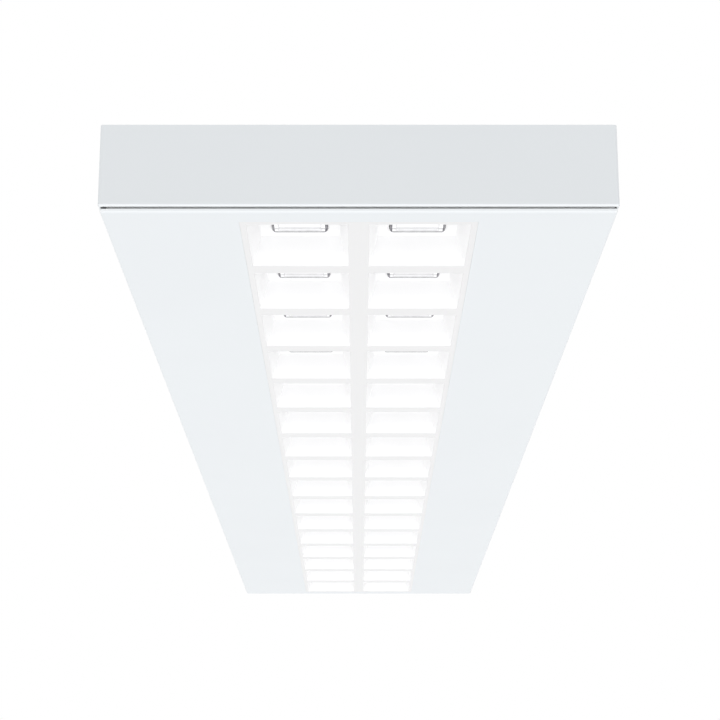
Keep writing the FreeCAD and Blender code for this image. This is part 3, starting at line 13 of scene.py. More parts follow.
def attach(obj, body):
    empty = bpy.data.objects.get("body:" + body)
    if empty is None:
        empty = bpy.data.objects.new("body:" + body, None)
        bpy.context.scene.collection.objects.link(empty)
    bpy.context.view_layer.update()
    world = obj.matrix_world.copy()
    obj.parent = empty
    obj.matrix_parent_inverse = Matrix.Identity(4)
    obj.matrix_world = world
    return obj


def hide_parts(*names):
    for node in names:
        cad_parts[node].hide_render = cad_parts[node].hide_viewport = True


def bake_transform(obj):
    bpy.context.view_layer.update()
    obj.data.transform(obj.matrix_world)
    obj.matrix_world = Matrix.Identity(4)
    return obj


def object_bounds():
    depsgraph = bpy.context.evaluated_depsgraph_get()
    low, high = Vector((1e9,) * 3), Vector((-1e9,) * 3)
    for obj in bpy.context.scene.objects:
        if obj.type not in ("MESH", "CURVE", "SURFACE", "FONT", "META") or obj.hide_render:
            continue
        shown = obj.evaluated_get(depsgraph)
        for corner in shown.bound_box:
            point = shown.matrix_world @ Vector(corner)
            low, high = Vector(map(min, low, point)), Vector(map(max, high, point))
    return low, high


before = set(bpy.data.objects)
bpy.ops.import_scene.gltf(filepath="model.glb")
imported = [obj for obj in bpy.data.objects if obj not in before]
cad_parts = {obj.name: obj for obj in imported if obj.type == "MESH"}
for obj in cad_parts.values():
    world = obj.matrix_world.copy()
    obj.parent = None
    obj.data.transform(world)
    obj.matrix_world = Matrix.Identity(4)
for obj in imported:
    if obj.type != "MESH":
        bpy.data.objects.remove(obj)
cad_low, cad_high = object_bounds()

WHITE = (1.0, 1.0, 1.0, 1.0)

# Camera, fitted to the photograph's perspective
IMAGE_SIZE = 720
FOCAL_PIXELS = 1536.1
SENSOR_WIDTH = 36.0
CAMERA_PLACE = (0.0, -1.4184, -0.42888)
CAMERA_PITCH = 12.53
CAMERA_SHIFT_X = 0.0018
CAMERA_SHIFT_Y = 0.25
CLIP_START = 0.05
CLIP_END = 200.0

# Light: an even tent with a soft bright side below the front end, and a weaker one above the rear
TENT_LEVEL = 0.36
TENT_FRONT = 1.12
TENT_REAR = 0.7
TENT_DIRECTION = (0.0, -0.52, -0.854)

# Floor: nearly white to the camera below the part, and white further out
FLOOR_LEVEL = -2.4
FLOOR_SIZE = 60.0
FLOOR_ALBEDO = 0.8
FLOOR_WHITE_SHARE = 0.75
FLOOR_FADE_START = 3.0
FLOOR_FADE_END = 10.0

# Most values of a noise fall between these two
NOISE_LOW = 0.3
NOISE_HIGH = 0.7

# Paint: a painted highlight, paler, on the edges beside the joint, and painted light, a lighter white, on the
# faces inside, which lightens their shade, such as in the joint's gap
OUTER_PAINT = (0.850, 0.882, 0.905)
EDGE_PAINTED_HIGHLIGHT = (0.930, 0.962, 0.982)
INNER_PAINTED_LIGHT = (0.960, 0.970, 0.975)
PAINT_CHANGE = 0.006
JOINT_LEVEL = -0.0515
JOINT_HIGHLIGHT_BAND = 0.0016
PANEL_INSET = 0.001
PAINTED_LIGHT_DEPTH = 0.0014

# Louvre cells: pitch as in the CAD model, and painted light: a faint emission between mouth and core, in
# place of the LEDs' light on the cell walls
CELL_PITCH_X = 0.0722
CELL_PITCH_Y = 0.07338125
LOUVRE_WHITE = (0.872, 0.872, 0.876)
CELL_MOUTH = -0.0539
CELL_LIP = -0.0530
CELL_CORE = -0.0440
LIP_GLOW = 0.15
CORE_GLOW = 0.10

# Lenses: sizes as in the CAD model, and painted shade: dark bands and lines in place of the dark refraction
# and reflection at their rims, with painted light, a faint glow, elsewhere
LENS_HALF = 0.017
LENS_RADIUS = 0.0025
LENS_CLEAR = (0.95, 0.95, 0.96)
LENS_PAINTED_DARK = (0.05, 0.045, 0.065)
LENS_GLOW = 0.2
LENS_RIM_START = -0.0012
LENS_RIM_END = -0.0006
LENS_SIDE_BAND = 0.0018
LENS_END_BAND = 0.0038
LENS_END_DARKNESS = 0.65
LENS_DISH_INSET = 0.004
LENS_DISH_LINE = 0.0007
LENS_DISH_DARKNESS = 0.3
LENS_INNER_LINE_INSET = 0.0064
LENS_INNER_LINE = 0.0013
LENS_INNER_DARKNESS = 0.55
LENS_STREAK_LEAST = 0.82
LENS_INDEX = 1.49
LENS_SPECULAR = 0.3

# LED packages
LED_HALF = 0.0015
PHOSPHOR_CORE = 0.80 * LED_HALF
PHOSPHOR_EDGE = 0.84 * LED_HALF
LED_WHITE = (0.88, 0.88, 0.86)
LED_PHOSPHOR = (0.95, 0.72, 0.12)
LED_GLOW = 0.3
LED_GLOW_COLOUR = (1.0, 0.93, 0.75, 1.0)

# Leads: each route's control points are those of the CAD source
HINGE_LEVEL = -0.04348283
LED_LEAD_AXIS_X = -0.1425
DRIVER_ENTRY_LEVEL = -0.012
TERMINAL_ENTRY_LEVEL = -0.008
PLUG_Y = -0.464
PLUG_LEVEL = -0.0251
LEAD_RADIUS = 0.0012
LED_LEAD_RADIUS = 0.0018
LEAD_SIDES = 20
SPLINE_STEPS = 16
STRIPE_START = 0.20
STRIPE_FULL = 0.26
DRIVER_LEADS = (
    ("mains_lead_live", "brown_lead", -0.120),
    ("mains_lead_neutral", "blue_lead", -0.115),
    ("control_lead_1", "violet_lead", -0.110),
    ("control_lead_2", "grey_lead", -0.105),
)

# Ring terminal on the earth stud
EARTH_X = -0.070
EARTH_Y = -0.050
RING_BORE = 0.0022
RING_OUTER = 0.0045
RING_LOW = -0.0028
RING_HIGH = -0.0020
RING_MIDDLE = (RING_LOW + RING_HIGH) / 2
RING_SIDES = 40
CRIMP_RADIUS = 0.00138
CRIMP_LENGTH = 0.0045
CRIMP_FLARE = 0.00012

# CAD nodes by material slot, by the start of their names
NODE_SLOTS = {
    "white_paint": ("side_profile_", "end_cap_front", "end_cap_rear", "side_rivets", "cover_panel"),
    "louvre_white": ("louvre_",),
    "lens_clear": ("lens_array_",),
    "galvanised_sheet": ("back_plate", "driver_base"),
    "zinc_steel": ("end_cap_screws", "driver_screws", "board_screws", "carrier_nuts", "catch_studs",
                   "earth_", "hinge_"),
    "spring_steel": ("catch_springs",),
    "aluminium_sheet": ("led_carrier",),
    "aluminium_rivet": ("profile_rivets",),
    "black_rubber": ("cable_grommet",),
    "grey_plastic": ("terminal_block", "driver_input_terminal", "driver_output_terminal"),
    "orange_button": ("terminal_button_",),
    "contact_metal": ("terminal_contacts",),
    "driver_white": ("driver_lid",),
    "green_board": ("driver_board",),
    "white_board": ("led_board_",),
    "led_phosphor": ("led_chips",),
    "white_connector": ("board_links", "led_plug"),
}


def node(tree, kind, inputs=None, **settings):
    """A shader node with its settings, and its sockets set or linked."""
    made = tree.nodes.new(kind)
    for key, value in settings.items():
        setattr(made, key, value)
    for key, value in (inputs or {}).items():
        if isinstance(value, bpy.types.NodeSocket):
            tree.links.new(value, made.inputs[key])
        else:
            made.inputs[key].default_value = value
    return made


def principled(name, roughness=0.5, metallic=0.0):
    """A new material with its node tree and Principled shader."""
    material = bpy.data.materials.new(name)
    material.use_nodes = True
    tree = material.node_tree
    shader = tree.nodes["Principled BSDF"]
    shader.inputs["Roughness"].default_value = roughness
    shader.inputs["Metallic"].default_value = metallic
    return material, tree, shader


def feed(tree, shader, socket, value):
    """Link a value or colour to one of the shader's sockets."""
    tree.links.new(value, shader.inputs[socket])


def place(tree):
    """Coordinates in the row frame, which ride with the object."""
    return node(tree, "ShaderNodeTexCoord").outputs["Object"]


def stretched(tree, scale):
    """Row frame coordinates with a scale per axis."""
    return node(tree, "ShaderNodeMapping", {"Vector": place(tree), "Scale": scale}).outputs["Vector"]


def separated(tree, coordinates):
    """The X, Y and Z of coordinates, by name."""
    return node(tree, "ShaderNodeSeparateXYZ", {"Vector": coordinates}).outputs


def noise(tree, coordinates, scale, detail=3.0, roughness=0.5):
    """Noise value from 0 to 1."""
    made = node(tree, "ShaderNodeTexNoise", {
        "Vector": coordinates, "Scale": scale, "Detail": detail, "Roughness": roughness})
    return made.outputs["Fac"]


def ramp(tree, factor, stops):
    """Colours by a factor: stops are pairs of a position and a colour."""
    made = node(tree, "ShaderNodeValToRGB", {"Fac": factor})
    elements = made.color_ramp.elements
    while len(elements) < len(stops):
        elements.new(0.5)
    for element, (position, colour) in zip(elements, stops):
        element.position = position
        element.color = (*colour, 1.0)
    return made.outputs["Color"]


def span(tree, value, from_low, from_high, to_low, to_high):
    """A value taken from one range to another, clamped."""
    made = node(tree, "ShaderNodeMapRange", {
        "Value": value, "From Min": from_low, "From Max": from_high, "To Min": to_low, "To Max": to_high})
    return made.outputs["Result"]


def spread(tree, value, low, high):
    """A noise value taken from its usual range to another."""
    return span(tree, value, NOISE_LOW, NOISE_HIGH, low, high)


def math_node(tree, operation, first, second=0.0):
    """One step of arithmetic."""
    return node(tree, "ShaderNodeMath", {0: first, 1: second}, operation=operation).outputs["Value"]


def largest(tree, first, *others):
    """The largest of several values."""
    for other in others:
        first = math_node(tree, "MAXIMUM", first, other)
    return first


def apart(tree, first, second):
    """How far two values are apart."""
    return math_node(tree, "ABSOLUTE", math_node(tree, "SUBTRACT", first, second))


def reach(tree, first, second):
    """Length of a step of two values, square to each other."""
    squared = math_node(tree, "ADD", math_node(tree, "MULTIPLY", first, first),
                        math_node(tree, "MULTIPLY", second, second))
    return math_node(tree, "SQRT", squared)


def blend_colour(tree, factor, first, second):
    """Two colours mixed by a factor."""
    made = node(tree, "ShaderNodeMix", data_type="RGBA")
    for socket, value in ((made.inputs[0], factor), (made.inputs[6], first), (made.inputs[7], second)):
        if isinstance(value, bpy.types.NodeSocket):
            tree.links.new(value, socket)
        else:
            socket.default_value = (*value, 1.0)
    return made.outputs[2]


def weighted(tree, first, second, share):
    """Two values added, the first by its share and the second by the rest."""
    return math_node(tree, "ADD", math_node(tree, "MULTIPLY", first, share),
                     math_node(tree, "MULTIPLY", second, 1 - share))


def edge_band(tree, distance, width, core_share, strength=1.0):
    """A band beside an edge: its full strength over a share of its width, then fading."""
    return span(tree, distance, core_share * width, width, strength, 0.0)


def drawn_line(tree, distance, middle, half_width, core_share, strength=1.0):
    """A line where a distance has its middle value, fading to both sides."""
    return edge_band(tree, apart(tree, distance, middle), half_width, core_share, strength)


def set_bump(tree, shader, height, strength, distance=0.0001):
    """Small relief on the shader's normal."""
    bump = node(tree, "ShaderNodeBump", {"Height": height, "Strength": strength, "Distance": distance})
    feed(tree, shader, "Normal", bump.outputs["Normal"])


def varied(tree, factor, colour, change):
    """A colour that gets lighter and darker by a share, with a noise as the factor."""
    dark = tuple(max(0.0, channel * (1 - change)) for channel in colour)
    light = tuple(min(1.0, channel * (1 + change)) for channel in colour)
    return ramp(tree, factor, [(NOISE_LOW, dark), (NOISE_HIGH, light)])


def depth_inside(tree, places):
    """Distance in from the body's outer faces, with the panel's underside counted like its rim."""
    across = math_node(tree, "ABSOLUTE", places["X"])
    along = math_node(tree, "ABSOLUTE", places["Y"])
    from_side = math_node(tree, "SUBTRACT", cad_high[0], across)
    from_end = math_node(tree, "SUBTRACT", cad_high[1], along)
    from_below = math_node(tree, "SUBTRACT", places["Z"], cad_low[2] - PANEL_INSET)
    return math_node(tree, "MINIMUM", math_node(tree, "MINIMUM", from_side, from_end), from_below)


def paint_colour(tree, where):
    """Faintly clouded white: its outer tone, a painted highlight beside the joint, and a lighter tone inside
    as painted light in the shade of the gap and recesses.
    """
    places = separated(tree, where)
    clouds = noise(tree, where, scale=9.0, detail=4.0)
    # Painted highlight: a paler band on the housing's lower edge beside the joint, where light from below
    # falls on its chamfer.
    edge = drawn_line(tree, places["Z"], JOINT_LEVEL, JOINT_HIGHLIGHT_BAND, core_share=0.9)
    outer = blend_colour(tree, edge, varied(tree, clouds, OUTER_PAINT, PAINT_CHANGE), EDGE_PAINTED_HIGHLIGHT)
    # Painted light: a lighter white on the faces inside, which lightens the shade in the joint's gap and the
    # recesses behind it.
    inner = varied(tree, clouds, INNER_PAINTED_LIGHT, PAINT_CHANGE)
    inside = span(tree, depth_inside(tree, places), 0.9 * PAINTED_LIGHT_DEPTH, 1.1 * PAINTED_LIGHT_DEPTH, 0.0, 1.0)
    return blend_colour(tree, inside, outer, inner)


def powder_coat(name):
    """Satin powder coat with a fine orange peel."""
    material, tree, shader = principled(name)
    where = place(tree)
    feed(tree, shader, "Base Color", paint_colour(tree, where))
    grain = noise(tree, where, scale=1400.0, detail=2.0)
    feed(tree, shader, "Roughness", spread(tree, grain, 0.40, 0.50))
    peel = noise(tree, where, scale=700.0, detail=2.0)
    set_bump(tree, shader, peel, strength=0.06, distance=0.0002)
    return material


def louvre_plastic(name):
    """White moulded louvre: satin, with painted light, a faint emission, on the walls inside its cells."""
    material, tree, shader = principled(name)
    where = place(tree)
    clouds = noise(tree, where, scale=14.0)
    feed(tree, shader, "Base Color", varied(tree, clouds, LOUVRE_WHITE, 0.005))
    grain = noise(tree, where, scale=1800.0, detail=2.0)
    feed(tree, shader, "Roughness", spread(tree, grain, 0.34, 0.44))
    set_bump(tree, shader, grain, strength=0.04)
    # Painted light: emission on the cell walls, stronger near the mouth, in place of the LEDs' light falling
    # on them.
    level = separated(tree, where)["Z"]
    inside = span(tree, level, CELL_MOUTH, CELL_LIP, 0.0, 1.0)
    glow = span(tree, level, CELL_LIP, CELL_CORE, LIP_GLOW, CORE_GLOW)
    feed(tree, shader, "Emission Strength", math_node(tree, "MULTIPLY", inside, glow))
    shader.inputs["Emission Color"].default_value = WHITE
    return material


def cell_offsets(tree):
    """Distances across and along from the middle of the nearest louvre cell."""
    places = separated(tree, place(tree))
    across = apart(tree, math_node(tree, "ABSOLUTE", places["X"]), CELL_PITCH_X / 2)
    row_share = math_node(tree, "FRACT", math_node(tree, "DIVIDE", places["Y"], CELL_PITCH_Y))
    along = math_node(tree, "MULTIPLY", apart(tree, row_share, 0.5), CELL_PITCH_Y)
    return across, along


def past_lens_rim(tree, across, along):
    """Distance out from the lens's outline with its rounded corners, less than zero inside it."""
    core = LENS_HALF - LENS_RADIUS
    past_x = largest(tree, math_node(tree, "SUBTRACT", across, core), 0.0)
    past_y = largest(tree, math_node(tree, "SUBTRACT", along, core), 0.0)
    return math_node(tree, "SUBTRACT", reach(tree, past_x, past_y), LENS_RADIUS)


def lens_outline(tree):
    """How dark the painted shade of the lens's rim, its bands and the lines within them is, from 0 to 1, in
    place of the rim's refraction and reflection.
    """
    across, along = cell_offsets(tree)
    from_side = math_node(tree, "SUBTRACT", LENS_HALF, across)
    from_end = math_node(tree, "SUBTRACT", LENS_HALF, along)
    nearest = math_node(tree, "MINIMUM", from_side, from_end)
    rim = span(tree, past_lens_rim(tree, across, along), LENS_RIM_START, LENS_RIM_END, 0.0, 1.0)
    side_band = edge_band(tree, from_side, LENS_SIDE_BAND, core_share=0.7)
    end_band = edge_band(tree, from_end, LENS_END_BAND, core_share=0.8, strength=LENS_END_DARKNESS)
    inner_line = drawn_line(tree, from_end, LENS_INNER_LINE_INSET, LENS_INNER_LINE, core_share=0.5,
                            strength=LENS_INNER_DARKNESS)
    dish = drawn_line(tree, nearest, LENS_DISH_INSET, LENS_DISH_LINE, core_share=0.4,
                      strength=LENS_DISH_DARKNESS)
    outline = largest(tree, rim, side_band, end_band, inner_line, dish)
    streaks = noise(tree, place(tree), scale=260.0, detail=2.0)
    return math_node(tree, "MULTIPLY", outline, spread(tree, streaks, LENS_STREAK_LEAST, 1.0))


def lens_plastic(name):
    """Clear lens with a painted dark, faintly violet outline at its rim and fainter painted lines within it,
    in place of the dark refraction and reflection there, and painted light, a faint emission, elsewhere.
    """
    material, tree, shader = principled(name, roughness=0.06)
    outline = lens_outline(tree)
    # Painted shade: the dark outline in place of the rim's refraction and reflection; painted light: a faint
    # emission elsewhere on the lens.
    feed(tree, shader, "Base Color", blend_colour(tree, outline, LENS_CLEAR, LENS_PAINTED_DARK))
    feed(tree, shader, "Emission Strength", span(tree, outline, 0.0, 1.0, LENS_GLOW, 0.0))
    shader.inputs["Emission Color"].default_value = WHITE
    shader.inputs["IOR"].default_value = LENS_INDEX
    shader.inputs["Specular IOR Level"].default_value = LENS_SPECULAR
    return material


def galvanised(name):
    """Hot dip zinc: large spangles that differ in tone and gloss."""
    material, tree, shader = principled(name, metallic=1.0)
    where = place(tree)
    wobble = node(tree, "ShaderNodeTexNoise", {"Vector": where, "Scale": 60.0, "Detail": 2.0})
    shift = node(tree, "ShaderNodeVectorMath", {0: wobble.outputs["Color"], "Scale": 0.006},
                 operation="SCALE")
    shifted = node(tree, "ShaderNodeVectorMath", {0: where, 1: shift.outputs["Vector"]}, operation="ADD")
    spangles = node(tree, "ShaderNodeTexVoronoi", {"Vector": shifted.outputs["Vector"], "Scale": 110.0},
                    feature="F1")
    tone = separated(tree, spangles.outputs["Color"])
    streaks = noise(tree, stretched(tree, (400.0, 900.0, 400.0)), scale=1.0)
    mixed = weighted(tree, tone["X"], streaks, share=0.8)
    tones = [(0.0, (0.55, 0.57, 0.59)), (0.5, (0.59, 0.61, 0.63)), (1.0, (0.65, 0.67, 0.68))]
    feed(tree, shader, "Base Color", ramp(tree, mixed, tones))
    feed(tree, shader, "Roughness", span(tree, tone["Y"], 0.0, 1.0, 0.40, 0.54))
    set_bump(tree, shader, spangles.outputs["Distance"], strength=0.04, distance=0.0006)
    return material


def plated(name, colour, low, high):
    """Plated or bright metal with uneven gloss, its roughness from low to high."""
    material, tree, shader = principled(name, metallic=1.0)
    where = place(tree)
    cloud = noise(tree, where, scale=220.0, detail=4.0, roughness=0.6)
    feed(tree, shader, "Base Color", varied(tree, cloud, colour, 0.1))
    feed(tree, shader, "Roughness", spread(tree, cloud, low, high))
    fine = noise(tree, where, scale=2600.0, detail=2.0)
    set_bump(tree, shader, fine, strength=0.05)
    return material


def brushed(name, colour):
    """Rolled aluminium sheet with long fine streaks along Y."""
    material, tree, shader = principled(name, metallic=1.0)
    streaks = noise(tree, stretched(tree, (1500.0, 12.0, 1500.0)), scale=1.0, detail=4.0, roughness=0.6)
    smears = noise(tree, place(tree), scale=25.0)
    both = weighted(tree, streaks, smears, share=0.6)
    feed(tree, shader, "Base Color", varied(tree, both, colour, 0.08))
    feed(tree, shader, "Roughness", spread(tree, both, 0.26, 0.42))
    set_bump(tree, shader, streaks, strength=0.05)
    return material


def moulded(name, colour, low=0.36, high=0.5, change=0.03):
    """Moulded plastic with a fine eroded texture, its roughness from low to high."""
    material, tree, shader = principled(name)
    where = place(tree)
    cloud = noise(tree, where, scale=60.0)
    feed(tree, shader, "Base Color", varied(tree, cloud, colour, change))
    grain = noise(tree, where, scale=3200.0, detail=2.0)
    feed(tree, shader, "Roughness", spread(tree, grain, low, high))
    set_bump(tree, shader, grain, strength=0.08)
    return material


def circuit_board(name, mask, copper, pitch):
    """Solder mask with the faint relief and tone of the tracks below it."""
    material, tree, shader = principled(name, roughness=0.35)
    where = place(tree)
    tracks = node(tree, "ShaderNodeTexBrick", {
        "Vector": where, "Scale": 1.0, "Mortar Size": pitch / 9, "Brick Width": pitch * 3,
        "Row Height": pitch, "Mortar Smooth": 0.1})
    ground = varied(tree, noise(tree, where, scale=120.0), mask, 0.03)
    feed(tree, shader, "Base Color", blend_colour(tree, tracks.outputs["Fac"], ground, copper))
    set_bump(tree, shader, tracks.outputs["Fac"], strength=0.15)
    return material


def led_package(name):
    """White LED package with a round yellow phosphor in its middle."""
    material, tree, shader = principled(name, roughness=0.3)
    radius = reach(tree, *cell_offsets(tree))
    disc = span(tree, radius, PHOSPHOR_CORE, PHOSPHOR_EDGE, 1.0, 0.0)
    speckle = noise(tree, place(tree), scale=9000.0, detail=2.0)
    phosphor = varied(tree, speckle, LED_PHOSPHOR, 0.06)
    feed(tree, shader, "Base Color", blend_colour(tree, disc, LED_WHITE, phosphor))
    feed(tree, shader, "Emission Strength", span(tree, disc, 0.0, 1.0, 0.0, LED_GLOW))
    shader.inputs["Emission Color"].default_value = LED_GLOW_COLOUR
    return material


def cable_sheath(name, colour, stripe=None):
    """Soft plastic insulation, with a second colour along it where there is a stripe."""
    material, tree, shader = principled(name)
    cloud = noise(tree, place(tree), scale=500.0)
    ground = varied(tree, cloud, colour, 0.05)
    if stripe:
        turn = node(tree, "ShaderNodeAttribute", attribute_name="turn").outputs["Fac"]
        ground = blend_colour(tree, span(tree, turn, STRIPE_START, STRIPE_FULL, 0.0, 1.0), ground, stripe)
    feed(tree, shader, "Base Color", ground)
    feed(tree, shader, "Roughness", spread(tree, cloud, 0.36, 0.48))
    set_bump(tree, shader, cloud, strength=0.05)
    return material


def rubber(name, colour):
    """Dull grained rubber."""
    material, tree, shader = principled(name)
    grain = noise(tree, place(tree), scale=1500.0)
    feed(tree, shader, "Base Color", varied(tree, grain, colour, 0.2))
    feed(tree, shader, "Roughness", spread(tree, grain, 0.6, 0.75))
    set_bump(tree, shader, grain, strength=0.15)
    return material


def make_materials():
    """One material per slot of the record."""
    return {
        "white_paint": powder_coat("white_paint"),
        "louvre_white": louvre_plastic("louvre_white"),
        "lens_clear": lens_plastic("lens_clear"),
        "galvanised_sheet": galvanised("galvanised_sheet"),
        "zinc_steel": plated("zinc_steel", (0.60, 0.62, 0.64), 0.22, 0.38),
        "spring_steel": plated("spring_steel", (0.38, 0.39, 0.41), 0.2, 0.34),
        "aluminium_sheet": brushed("aluminium_sheet", (0.74, 0.75, 0.76)),
        "aluminium_rivet": plated("aluminium_rivet", (0.72, 0.73, 0.74), 0.25, 0.4),
        "black_rubber": rubber("black_rubber", (0.022, 0.022, 0.024)),
        "grey_plastic": moulded("grey_plastic", (0.32, 0.33, 0.34)),
        "orange_button": moulded("orange_button", (0.80, 0.21, 0.03)),
        "contact_metal": plated("contact_metal", (0.78, 0.62, 0.42), 0.2, 0.35),
        "driver_white": moulded("driver_white", (0.80, 0.81, 0.81), 0.4, 0.52, 0.01),
        "green_board": circuit_board("green_board", (0.03, 0.16, 0.07), (0.07, 0.26, 0.11), 0.004),
        "white_board": circuit_board("white_board", (0.84, 0.84, 0.83), (0.74, 0.74, 0.71), 0.009),
        "led_phosphor": led_package("led_phosphor"),
        "white_connector": moulded("white_connector", (0.80, 0.79, 0.75), 0.4, 0.55, 0.01),
        "green_lead": cable_sheath("green_lead", (0.03, 0.26, 0.05), (0.80, 0.62, 0.03)),
        "brown_lead": cable_sheath("brown_lead", (0.16, 0.06, 0.03)),
        "blue_lead": cable_sheath("blue_lead", (0.04, 0.12, 0.42)),
        "violet_lead": cable_sheath("violet_lead", (0.22, 0.06, 0.30)),
        "grey_lead": cable_sheath("grey_lead", (0.30, 0.30, 0.31)),
        "white_lead": cable_sheath("white_lead", (0.78, 0.78, 0.77)),
    }


def dress_nodes(materials):
    """Give each CAD node that stays the material of its slot."""
    for name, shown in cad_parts.items():
        for slot, name_starts in NODE_SLOTS.items():
            if name.startswith(name_starts):
                shown.data.materials.clear()
                shown.data.materials.append(materials[slot])
                break


def route_line(name, points):
    """Points along a smooth spline whose control points are the route's."""
    curve = bpy.data.curves.new(name + "_route", "CURVE")
    curve.dimensions = "3D"
    spline = curve.splines.new("NURBS")
    spline.points.add(len(points) - 1)
    for control, point in zip(spline.points, points):
        control.co = (*point, 1.0)
    spline.order_u = 3
    spline.use_endpoint_u = True
    spline.resolution_u = SPLINE_STEPS
    holder = bpy.data.objects.new(name + "_route", curve)
    bpy.context.scene.collection.objects.link(holder)
    bpy.context.view_layer.update()
    depsgraph = bpy.context.evaluated_depsgraph_get()
    line = bpy.data.meshes.new_from_object(holder.evaluated_get(depsgraph))
    found = [vertex.co.copy() for vertex in line.vertices]
    bpy.data.meshes.remove(line)
    bpy.data.objects.remove(holder)
    bpy.data.curves.remove(curve)
    return found


def tube_points(line, radius):
    """Rings of points round a line, and the cosine of the angle of each."""
    vertices = []
    turns = []
    side = None
    last = len(line) - 1
    for index, point in enumerate(line):
        forward = (line[min(index + 1, last)] - line[max(index - 1, 0)]).normalized()
        if side is None:
            side = forward.orthogonal().normalized()
        side = (side - forward * side.dot(forward)).normalized()
        other = forward.cross(side)
        for step in range(LEAD_SIDES):
            angle = 2 * math.pi * step / LEAD_SIDES
            vertices.append(point + (side * math.cos(angle) + other * math.sin(angle)) * radius)
            turns.append(math.cos(angle))
    return vertices, turns


def tube_faces(last):
    """Faces between the rings from the first to the last, and one over each end."""
    faces = []
    for index in range(last):
        low = index * LEAD_SIDES
        for step in range(LEAD_SIDES):
            following = (step + 1) % LEAD_SIDES
            faces.append((low + step, low + following, low + LEAD_SIDES + following, low + LEAD_SIDES + step))
    faces.append(tuple(reversed(range(LEAD_SIDES))))
    faces.append(tuple(range(last * LEAD_SIDES, last * LEAD_SIDES + LEAD_SIDES)))
    return faces


def tube_mesh(name, line, radius):
    """A closed round tube along a line, with the cosine of the angle around it as an attribute."""
    vertices, turns = tube_points(line, radius)
    mesh = bpy.data.meshes.new(name)
    mesh.from_pydata([tuple(vertex) for vertex in vertices], [], tube_faces(len(line) - 1))
    mesh.attributes.new("turn", "FLOAT", "POINT").data.foreach_set("value", turns)
    for polygon in mesh.polygons:
        polygon.use_smooth = len(polygon.vertices) == 4
    mesh.update()
    return mesh


def shown_piece(name, mesh, material):
    """A mesh with its material as a new object of the scene."""
    mesh.materials.append(material)
    piece = bpy.data.objects.new(name, mesh)
    bpy.context.scene.collection.objects.link(piece)
    return piece


def add_lead(node_name, slot, points, radius, materials):
    """A smooth tube that stands for its CAD node, which it hides."""
    name = node_name + "_sheath"
    line = route_line(name, points)
    lead = shown_piece(name, tube_mesh(name, line, radius), materials[slot])
    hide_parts(node_name)
    return lead


def make_led_lead(materials):
    """The lead across the hinge, which twists beside the hinge's axis."""
    points = [
        (-0.110, -0.362, DRIVER_ENTRY_LEVEL),
        (-0.110, -0.384, DRIVER_ENTRY_LEVEL),
        (LED_LEAD_AXIS_X, -0.414, HINGE_LEVEL),
        (LED_LEAD_AXIS_X, -0.438, HINGE_LEVEL),
        (-0.1285, -0.460, HINGE_LEVEL + 0.002),
        (-0.0965, PLUG_Y, -0.0301),
        (-0.0711, PLUG_Y, PLUG_LEVEL),
        (-0.0511, PLUG_Y, PLUG_LEVEL),
    ]
    lead = add_lead("led_lead", "white_lead", points, LED_LEAD_RADIUS, materials)
    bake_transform(lead)


def make_driver_leads(materials):
    """Four leads with a slack bow, from the mains terminal to the driver."""
    for node_name, slot, x in DRIVER_LEADS:
        points = [
            (x, -0.016, TERMINAL_ENTRY_LEVEL),
            (x, -0.0315, TERMINAL_ENTRY_LEVEL),
            (x, -0.047, -0.0156),
            (x, -0.0625, DRIVER_ENTRY_LEVEL),
            (x, -0.078, DRIVER_ENTRY_LEVEL),
        ]
        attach(add_lead(node_name, slot, points, LEAD_RADIUS, materials), "housing")


def make_earth_lead(materials):
    """The lead from the mains terminal to the earth stud, with its ring terminal."""
    points = [
        (-0.100, -0.016, TERMINAL_ENTRY_LEVEL),
        (-0.100, -0.033, TERMINAL_ENTRY_LEVEL),
        (-0.094, -0.04717, -0.0052),
        (-0.085, EARTH_Y, RING_MIDDLE),
        (-0.076, EARTH_Y, RING_MIDDLE),
    ]
    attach(add_lead("mains_lead_earth", "green_lead", points, LEAD_RADIUS, materials), "housing")
    ring = make_ring_terminal("earth_ring_terminal", materials["zinc_steel"])
    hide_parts("mains_lead_earth")
    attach(ring, "housing")


def add_turned(shape, profile, place_matrix):
    """A closed ring turned from a closed profile of radius and height."""
    rows = []
    for radius, height in profile:
        row = []
        for step in range(RING_SIDES):
            angle = 2 * math.pi * step / RING_SIDES
            point = Vector((radius * math.cos(angle), radius * math.sin(angle), height))
            row.append(shape.verts.new(place_matrix @ point))
        rows.append(row)
    for low, high in zip(rows, rows[1:] + rows[:1]):
        for step in range(RING_SIDES):
            following = (step + 1) % RING_SIDES
            shape.faces.new((low[step], low[following], high[following], high[step]))


def add_ring(shape):
    """The flat ring round the earth stud."""
    profile = [(RING_BORE, RING_LOW), (RING_OUTER, RING_LOW), (RING_OUTER, RING_HIGH), (RING_BORE, RING_HIGH)]
    add_turned(shape, profile, Matrix.Translation((EARTH_X, EARTH_Y, 0.0)))


def add_barrel(shape):
    """The crimped barrel round the lead's end, flared where the lead goes in."""
    wall = CRIMP_RADIUS - LEAD_RADIUS
    profile = [
        (LEAD_RADIUS, 0.0),
        (CRIMP_RADIUS + CRIMP_FLARE, 0.0),
        (CRIMP_RADIUS, wall),
        (CRIMP_RADIUS, CRIMP_LENGTH - wall),
        (LEAD_RADIUS, CRIMP_LENGTH),
    ]
    start = Matrix.Translation((EARTH_X - RING_OUTER - CRIMP_LENGTH, EARTH_Y, RING_MIDDLE))
    add_turned(shape, profile, start @ Matrix.Rotation(math.pi / 2, 4, "Y"))


